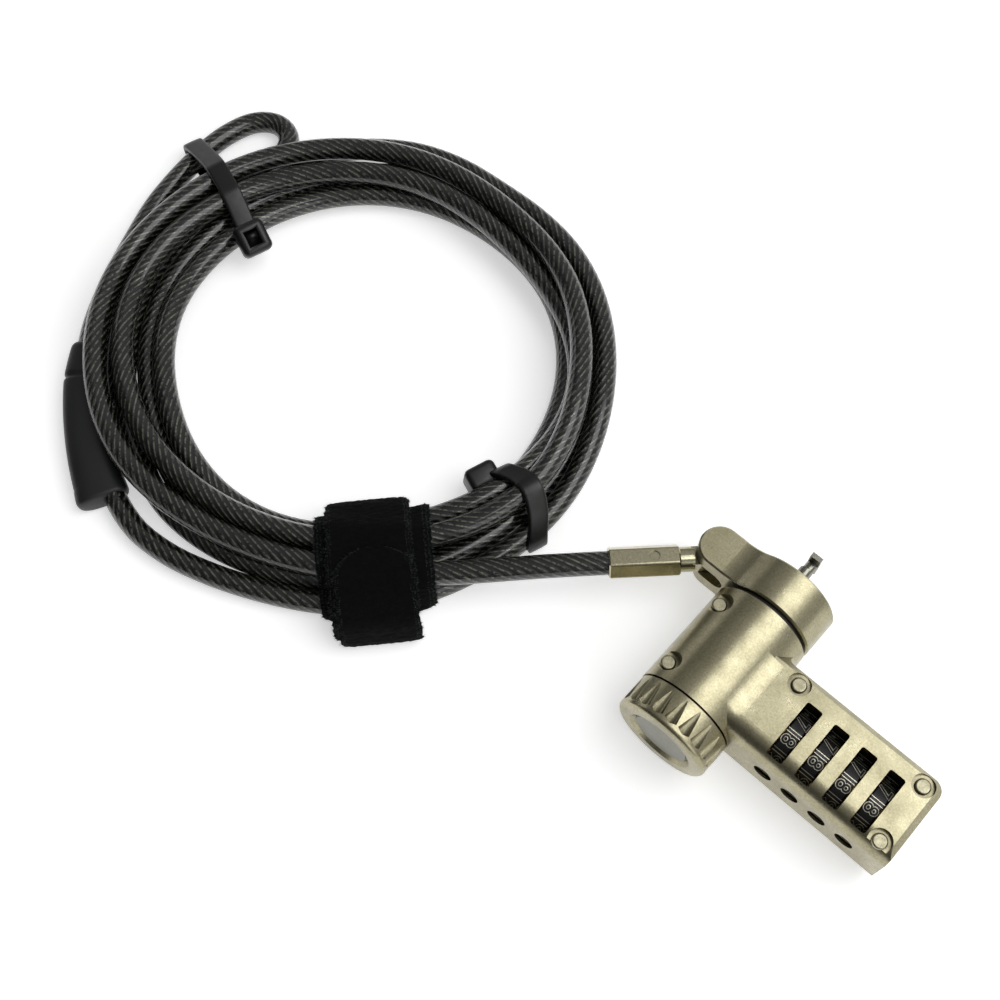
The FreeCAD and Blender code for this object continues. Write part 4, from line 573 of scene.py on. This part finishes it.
HEAD_SIZE, HEAD_ROUND = (7.4, 7.0, 5.0), 1.3
SOCKET_WALL, SOCKET_LIP, SOCKET_DEEP = 0.7, 0.05, 2.6
STUB_SIZE, STUB_PLACE = (1.3, 2.6, 2.4), (0.5, 0, 0.6)

# Each tie: a point in the coil that its upright plane runs through, and the plane's heading.
TIE_1 = ((-106.1, -25.9), math.radians(162.1))
TIE_2 = ((-101.8, -7.5), math.radians(-18.1))


def make_tie(name, middle, heading, low, high, bulge):
    """The band of a tie: tight round the cables, plain outside, toothed inside.

    Columns go round the section: across the outer face, down one edge, back across the inner
    face, whose teeth follow a square wave of the way round. The band leaves its upright plane
    by a parabola that rises to bulge half way out.
    """
    line, spacing = round_them(crossings([cable_path, eye_path], middle, heading, low, high),
                               CABLE / 2 + TIE_GAP, TIE_ROWS)
    out = outward(line)
    nearest, farthest = line[:, 0].min(), line[:, 0].max()
    from_half_way = (2 * line[:, 0] - nearest - farthest) / (farthest - nearest)
    bowed = bulge * (1 - from_half_way ** 2)
    wave = np.cos(2 * math.pi * np.arange(TIE_ROWS) * spacing / TEETH_PITCH)
    teeth = np.outer(TEETH_RISE * (wave < 0), INNER_TOOTHED)
    crown = np.broadcast_to(TIE_THICK * CROWN_RISE, (TIE_ROWS, len(CROWN_RISE)))
    rise = np.concatenate([crown, INNER_RISE + teeth], axis=1)
    across = np.concatenate([CROWN_ACROSS, INNER_ACROSS]) * TIE_WIDE / 2
    places = stand_up(middle, heading, line[:, 0:1] + out[:, 0:1] * rise,
                      across[None, :] + bowed[:, None], line[:, 1:2] + out[:, 1:2] * rise)
    made = skin_of(name, places, black_nylon, closed_along=True)
    face_out(made)
    return made


def make_tie_head(name, middle, heading, place, tilt):
    """The head of a tie: a rounded block with a square socket, and the stub of the cut end.

    The block's centre is at place (out, aside, up) in the plane of the tie, and tilt is the
    turn of its socket face from straight up, towards the middle.
    """
    work = bmesh.new()
    bmesh.ops.create_cube(work, size=1.0)
    bmesh.ops.scale(work, vec=HEAD_SIZE, verts=work.verts)
    bmesh.ops.bevel(work, geom=work.edges[:], offset=HEAD_ROUND, segments=5, profile=0.5,
                    affect="EDGES", clamp_overlap=True)
    top = max(work.faces, key=lambda face: face.calc_center_median().z)
    bmesh.ops.inset_region(work, faces=[top], thickness=SOCKET_WALL)
    bmesh.ops.inset_region(work, faces=[top], thickness=SOCKET_LIP)
    bmesh.ops.translate(work, verts=top.verts, vec=(0, 0, -SOCKET_DEEP))
    stub = bmesh.ops.create_cube(work, size=1.0)["verts"]
    bmesh.ops.scale(work, vec=STUB_SIZE, verts=stub)
    bmesh.ops.translate(work, verts=stub, vec=STUB_PLACE)
    points = np.array([tuple(vertex.co) for vertex in work.verts])
    faces = [tuple(vertex.index for vertex in face.verts) for face in work.faces]
    work.free()
    cos, sin = math.cos(tilt), math.sin(tilt)
    places = stand_up(middle, heading, place[0] + points[:, 0] * cos - points[:, 2] * sin,
                      place[1] + points[:, 1],
                      place[2] + points[:, 0] * sin + points[:, 2] * cos)
    made = new_piece(name, places, faces, black_nylon)
    face_out(made)
    return made


tie_1 = make_tie("cable_tie_1_band", *TIE_1, low=39.0, high=74.0, bulge=-0.8)
tie_2 = make_tie("cable_tie_2_band", *TIE_2, low=39.0, high=62.0, bulge=3.3)
tie_1_head = make_tie_head("cable_tie_1_head", *TIE_1, place=(38.0, 0.0, -2.6),
                           tilt=math.radians(30))
tie_2_head = make_tie_head("cable_tie_2_head", *TIE_2, place=(40.6, -3.0, -4.4),
                           tilt=math.radians(80))


# The hook-and-loop strap.

STRAP_MIDDLE = (-104.0, -20.0)
STRAP_HEADING = math.radians(-42)
STRAP_ASIDE = np.array([-math.sin(STRAP_HEADING), math.cos(STRAP_HEADING), 0.0])
STRAP_NEAR, STRAP_FAR = 38, 66          # the bundle lies this far from that middle
STRAP_GAP = 0.1
STRAP_ROWS, STRAP_COLUMNS = 220, 33     # the rows of one whole turn
# Where the over wrap and the tab swing out round the bundle: how far out, and how high.
LOOSE_ROUND = np.array([[58.2, -6.6], [57.6, -3.6], [55.6, -1.8], [39.6, -5.0]])
NAP_UNEVEN = 0.07
TAB_ROUND = 0.34                        # the tab's round end, as a share of its width

FIBRES_PER_ROW = 4
FIBRE_SHORTEST, FIBRE_LONGEST = 0.2, 0.9
FIBRE_SPREAD = 0.55
FIBRE_ROOT = 0.045 * np.array([[1, 0, 0], [-0.5, 0.87, 0], [-0.5, -0.4, 0.87]])
FIBRE_FACES = np.array([[0, 1, 3], [1, 2, 3], [2, 0, 3], [0, 2, 1]])

rng = np.random.default_rng(7)


def make_fuzz(name, places):
    """Loose fibres along both edges of a band: thin three-sided spikes at random angles.

    places is the band's grid, its first columns the outer face. Every row grows
    FIBRES_PER_ROW fibres on each edge, rooted in the edge's last three columns and leaning
    outwards from the band. Their lengths are a random value to the power 1.5, so most are
    short.
    """
    row = np.repeat(np.arange(len(places)), FIBRES_PER_ROW)
    roots, tips = [], []
    for column, way in ((0, -1), (STRAP_COLUMNS - 1, 1)):
        inward = rng.integers(0, 3, len(row)) * -way
        root = places[row, column + inward]
        lean = rng.normal(0, FIBRE_SPREAD, (len(row), 3)) + way * STRAP_ASIDE
        lean /= np.linalg.norm(lean, axis=1)[:, None]
        length = rng.uniform(FIBRE_SHORTEST, FIBRE_LONGEST, len(row)) ** 1.5
        roots.append(root)
        tips.append(root + lean * length[:, None])
    root, tip = np.concatenate(roots), np.concatenate(tips)
    points = np.concatenate([root[:, None, :] + FIBRE_ROOT, tip[:, None, :]], axis=1)
    points[:, :, 2] = np.maximum(points[:, :, 2], LOWEST)
    first = 4 * np.arange(len(root))[:, None, None]
    faces = (first + FIBRE_FACES).reshape(-1, 3).tolist()
    return new_piece(name, points.reshape(-1, 3), faces, nap_fibre, smooth=False)


def make_wrap(name, width, aside, thick, fray, off=0.0, loose=False, start=0.0, sweep=1.0,
              tab=False):
    """One wrap of the strap: a band carried round the cables, with frayed edges.

    The band follows the tight line round the cables at each of its edges and its middle, and
    between these a parabola. Rows follow it and columns its section: across the outer face,
    round the edge and back across the inner face. Where it ends in a tab, its half width is
    cut by an ellipse. Seeded noise moves each edge point. off is how far the band lies off
    the tight line, and loose swings it out round LOOSE_ROUND too.
    """
    across = np.linspace(-1, 1, STRAP_COLUMNS)
    lines, spacings = [], []
    for k in (-1, 0, 1):
        centres = crossings([cable_path], STRAP_MIDDLE, STRAP_HEADING, STRAP_NEAR, STRAP_FAR,
                            aside + k * width / 2)
        if loose:
            centres = np.concatenate([centres, LOOSE_ROUND])
        line, spacing = round_them(centres, CABLE / 2 + STRAP_GAP + off, STRAP_ROWS)
        lines.append(line)
        spacings.append(spacing)
    rows = int(sweep * STRAP_ROWS)
    pick = (np.arange(rows) + int(start * STRAP_ROWS)) % STRAP_ROWS
    shares = np.stack([across * (across - 1) / 2, 1 - across ** 2, across * (across + 1) / 2])
    whole = np.einsum("kc,krp->rcp", shares, np.array(lines))
    out = np.stack([outward(whole[:, column]) for column in range(STRAP_COLUMNS)], axis=1)
    whole, out = whole[pick], out[pick]

    half = np.full(rows, width / 2)
    if tab:
        far = np.arange(rows) * np.mean(spacings)
        left_to_go = (far[-1] - far) / (width * TAB_ROUND)
        half *= np.sqrt(np.clip(1 - np.clip(1 - left_to_go, 0, 1) ** 2, 0.02, 1))
    edges = [half + np.convolve(rng.normal(0, fray, rows), [0.25, 0.5, 0.25], mode="same")
             for _ in range(2)]
    side = aside + across * np.where(across < 0, edges[0][:, None], edges[1][:, None])
    uneven = rng.normal(0, NAP_UNEVEN, side.shape)
    rounded = thick / 2 * np.sqrt(np.clip(1 - np.abs(across) ** 6, 0, 1))
    outer_face = thick / 2 + rounded + uneven
    inner_face = np.broadcast_to(thick / 2 - rounded, side.shape)

    rise = np.concatenate([outer_face, inner_face[:, ::-1]], axis=1)[:, :, None]
    whole, out, side = (np.concatenate([face, face[:, ::-1]], axis=1)
                        for face in (whole, out, side))
    section = whole + out * rise
    places = stand_up(STRAP_MIDDLE, STRAP_HEADING, section[:, :, 0], side, section[:, :, 1])
    made = skin_of(name, places, nap, closed_along=not tab)
    face_out(made)
    return made, make_fuzz(name + "_fuzz", places)


under_wrap, under_fuzz = make_wrap("strap_under_wrap", width=23.8, aside=0.9, thick=1.2,
                                   fray=0.16)
over_wrap, over_fuzz = make_wrap("strap_over_wrap", width=17.5, aside=0.1, thick=1.5,
                                 fray=0.2, off=1.25, loose=True)
strap_tab, tab_fuzz = make_wrap("strap_tab", width=16.5, aside=0.9, thick=1.3, fray=0.2,
                                off=2.8, loose=True, start=0.9, sweep=0.37, tab=True)


# The figures of the dials.

DIAL_FIRST, DIAL_PITCH, DIAL_ROW = 18.65, 6.38, -26.3
DIAL_GROUND, RIB_TOP, RIB_HALF = 7.0, 7.25, 0.34
FIGURE_TALL, FIGURE_RISE = 2.8, 0.17
DIGIT_SHARE = 0.69                      # a digit's height in the font's size
RIM_WIDE, RIM_RISE = 0.14, 0.13         # painted highlight: a bright rim round each figure, for the glint on its edge
STEP = math.radians(36)
FIRST_PAST_TOP = 8                      # the figure next to the top, on the knob side
FIGURES_LEAN = math.radians(-3.5)
# The painted glint on a rib's edge, a bright bar: half its width and length, how deep it goes
# and stands proud.
GLINT_HALF, GLINT_LONG, GLINT_DEEP, GLINT_PROUD = 0.06, 1.5, 0.1, 0.02


def on_dial(flat, dial_middle, heading):
    """Wraps flat points round a dial: x goes round it, y along its axis, z out from it.

    heading is the angle from straight up towards the knob side.
    """
    angle = heading + flat[:, 0] / DIAL_GROUND
    radius = DIAL_GROUND + flat[:, 2]
    return np.stack([dial_middle + flat[:, 1], DIAL_ROW - radius * np.sin(angle),
                     radius * np.cos(angle)], axis=1)


def digit_mesh(text, swell, rise):
    """One raised figure, centred, swollen by this much, as flat points and faces in mm."""
    curve = bpy.data.curves.new("figure", "FONT")
    curve.body = text
    curve.size = FIGURE_TALL / DIGIT_SHARE
    curve.align_x = "CENTER"
    curve.offset = swell
    curve.extrude = rise
    curve.resolution_u = 3
    holder = bpy.data.objects.new("figure", curve)
    flat = bpy.data.meshes.new_from_object(holder)
    points = points_of(flat)
    points[:, :2] -= (points[:, :2].min(0) + points[:, :2].max(0)) / 2
    faces = [tuple(face.vertices) for face in flat.polygons]
    bpy.data.objects.remove(holder)
    bpy.data.meshes.remove(flat)
    bpy.data.curves.remove(curve)
    return points, faces


def box_mesh(x_low, x_high, y_low, y_high, z_low, z_high):
    """The corners and faces of a box."""
    corners = np.array([(x, y, z) for z in (z_low, z_high) for y in (y_low, y_high)
                        for x in (x_low, x_high)])
    faces = [(0, 2, 3, 1), (4, 5, 7, 6), (0, 1, 5, 4), (2, 6, 7, 3), (0, 4, 6, 2), (1, 3, 7, 5)]
    return corners, faces


def on_one_dial(name, index, shapes, finish):
    """Wraps flat shapes, each at its heading, round one dial, as one mesh."""
    middle = DIAL_FIRST + DIAL_PITCH * index
    points, faces, count = [], [], 0
    for flat, flat_faces, heading in shapes:
        points.append(on_dial(flat, middle, heading))
        faces.extend(tuple(corner + count for corner in face) for face in flat_faces)
        count += len(flat)
    made = new_piece(name, np.concatenate(points), faces, finish, smooth=False)
    face_out(made)
    return made


def figure_shapes(swell, rise):
    """The ten figures of a dial, each with its heading."""
    return [(*digit_mesh(str(figure), swell, rise),
             STEP / 2 + STEP * (figure - FIRST_PAST_TOP) + FIGURES_LEAN) for figure in range(10)]


def rib_edges():
    """The painted glints on the edges of the ten ribs: two thin bright bars on each."""
    rib_rise = RIB_TOP - DIAL_GROUND
    return [(*box_mesh(edge - GLINT_HALF, edge + GLINT_HALF, -GLINT_LONG, GLINT_LONG,
                       rib_rise - GLINT_DEEP, rib_rise + GLINT_PROUD), STEP * rib)
            for rib in range(10) for edge in (-RIB_HALF, RIB_HALF)]


# Who carries what, and which CAD stand-ins the pieces replace.

STRAP_PIECES = [under_wrap, over_wrap, strap_tab, under_fuzz, over_fuzz, tab_fuzz]
CABLE_PIECES = [cable, eye, sleeve, tie_1, tie_1_head, tie_2, tie_2_head, *STRAP_PIECES]
for piece in CABLE_PIECES:
    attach(piece, "cable_group")
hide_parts("cable_tie_1")
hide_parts("cable_tie_2")
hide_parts("cable_lead", "cable_coil", "cable_tail")
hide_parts("cable_eye")
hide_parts("eye_sleeve")
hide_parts("wrap_strap")
# The bright rims and rib bars on the dials are painted highlights, for the glints on their
# edges.
bright_shapes = figure_shapes(RIM_WIDE, RIM_RISE) + rib_edges()
black_shapes = figure_shapes(0.0, FIGURE_RISE)
for index in range(4):
    glint_rims = on_one_dial(f"dial_{index + 1}_edge_glints", index, bright_shapes, edge_glint_metal)
    figures = on_one_dial(f"dial_{index + 1}_figures", index, black_shapes, black_dial)
    for piece in (glint_rims, figures):
        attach(piece, f"dial_group_{index + 1}")


# The floor, the lamps and the world.

FLOOR_HALF = 3000.0                             # in mm
NEAR_GLOW, FAR_GLOW = (0.35, 0.5), (1.3, 1.0)   # distance in metres, and the strength there
AIM, LAMP_AWAY = Vector((-0.05, -0.03, 0)), 0.9     # what the lamps face, and how far off
BRIGHT_SIDE = (0.5, 0.6, 0.62)                  # where most of the world's light comes from
DIM, BRIGHT = 0.08, 0.46                        # its strength on the other side and on this


def white_paper():
    """White paper that shows the shadows on it, and is white to the eye and in the metal.

    Far from the object, where little lamp light falls, its own white takes the lamps' place:
    the strength rises smoothly with the distance from the origin.
    """
    made, tree = new_material("white_paper_sweep")
    paper = add(tree, "ShaderNodeBsdfDiffuse", {"Color": linear("#f4f4f4")})
    ray = add(tree, "ShaderNodeLightPath")
    direct = add(tree, "ShaderNodeMath", {
        0: ray.outputs["Is Camera Ray"], 1: ray.outputs["Is Glossy Ray"]}, operation="ADD")
    seen = add(tree, "ShaderNodeMath", {
        0: direct.outputs[0], 1: ray.outputs["Is Transmission Ray"]}, operation="ADD")
    place = add(tree, "ShaderNodeTexCoord").outputs["Object"]
    away = add(tree, "ShaderNodeVectorMath", {0: place}, operation="LENGTH")
    white = add(tree, "ShaderNodeMapRange", {
        "Value": away.outputs["Value"], "From Min": NEAR_GLOW[0], "From Max": FAR_GLOW[0],
        "To Min": NEAR_GLOW[1], "To Max": FAR_GLOW[1]}, interpolation_type="SMOOTHSTEP")
    strength = add(tree, "ShaderNodeMath", {
        0: seen.outputs[0], 1: white.outputs["Result"]}, operation="MULTIPLY")
    glow = add(tree, "ShaderNodeEmission", {"Strength": strength.outputs[0]})
    both = add(tree, "ShaderNodeAddShader", {0: paper.outputs["BSDF"], 1: glow.outputs[0]})
    add(tree, "ShaderNodeOutputMaterial", {"Surface": both.outputs[0]})
    return made


def make_floor():
    """A wide pale floor at the height that the coil and the strap lie on."""
    corners = np.array([(-1, -1), (1, -1), (1, 1), (-1, 1)]) * FLOOR_HALF
    points = np.column_stack([corners, np.full(4, TABLE)])
    return new_piece("floor", points, [(0, 1, 2, 3)], white_paper(), smooth=False)


def softbox(name, azimuth, elevation, wide, high, radiance):
    """An area lamp on a half sphere round the object, facing it."""
    lamp = bpy.data.lights.new(name, "AREA")
    lamp.shape = "RECTANGLE"
    lamp.size, lamp.size_y = wide, high
    lamp.energy = radiance * math.pi * wide * high
    made = bpy.data.objects.new(name, lamp)
    bpy.context.scene.collection.objects.link(made)
    a, e = math.radians(azimuth), math.radians(elevation)
    away = Vector((math.cos(a) * math.cos(e), math.sin(a) * math.cos(e), math.sin(e)))
    made.location = AIM + away * LAMP_AWAY
    made.rotation_euler = (-away).to_track_quat("-Z", "Y").to_euler()


def make_world():
    """Plain light from all round, darker on the near side, and white behind the floor's edge.

    The strength follows the direction: from DIM, low on the near side, it rises smoothly to
    BRIGHT, above and beyond the object.
    """
    made = bpy.data.worlds.new("studio")
    made.use_nodes = True
    tree = made.node_tree
    tree.nodes.clear()
    way = add(tree, "ShaderNodeTexCoord").outputs["Generated"]
    lean = add(tree, "ShaderNodeVectorMath", {0: way, 1: BRIGHT_SIDE}, operation="DOT_PRODUCT")
    level = add(tree, "ShaderNodeMapRange", {
        "Value": lean.outputs["Value"], "From Min": -0.2, "From Max": 0.8,
        "To Min": DIM, "To Max": BRIGHT}, interpolation_type="SMOOTHSTEP")
    ray = add(tree, "ShaderNodeLightPath")
    strength = add(tree, "ShaderNodeMix", {
        0: ray.outputs["Is Camera Ray"], 2: level.outputs["Result"], 3: 1.0}, data_type="FLOAT")
    sky = add(tree, "ShaderNodeBackground", {
        "Color": linear("#ffffff"), "Strength": strength.outputs[0]})
    add(tree, "ShaderNodeOutputWorld", {"Surface": sky.outputs[0]})
    return made


make_floor()
softbox("softbox_top", azimuth=38, elevation=60, wide=0.62, high=0.66, radiance=2.6)
softbox("softbox_right", azimuth=-10, elevation=28, wide=0.5, high=0.6, radiance=1.2)
softbox("softbox_left", azimuth=172, elevation=16, wide=0.6, high=0.3, radiance=0.7)
bpy.context.scene.world = make_world()
bpy.context.scene.view_settings.view_transform = "Standard"
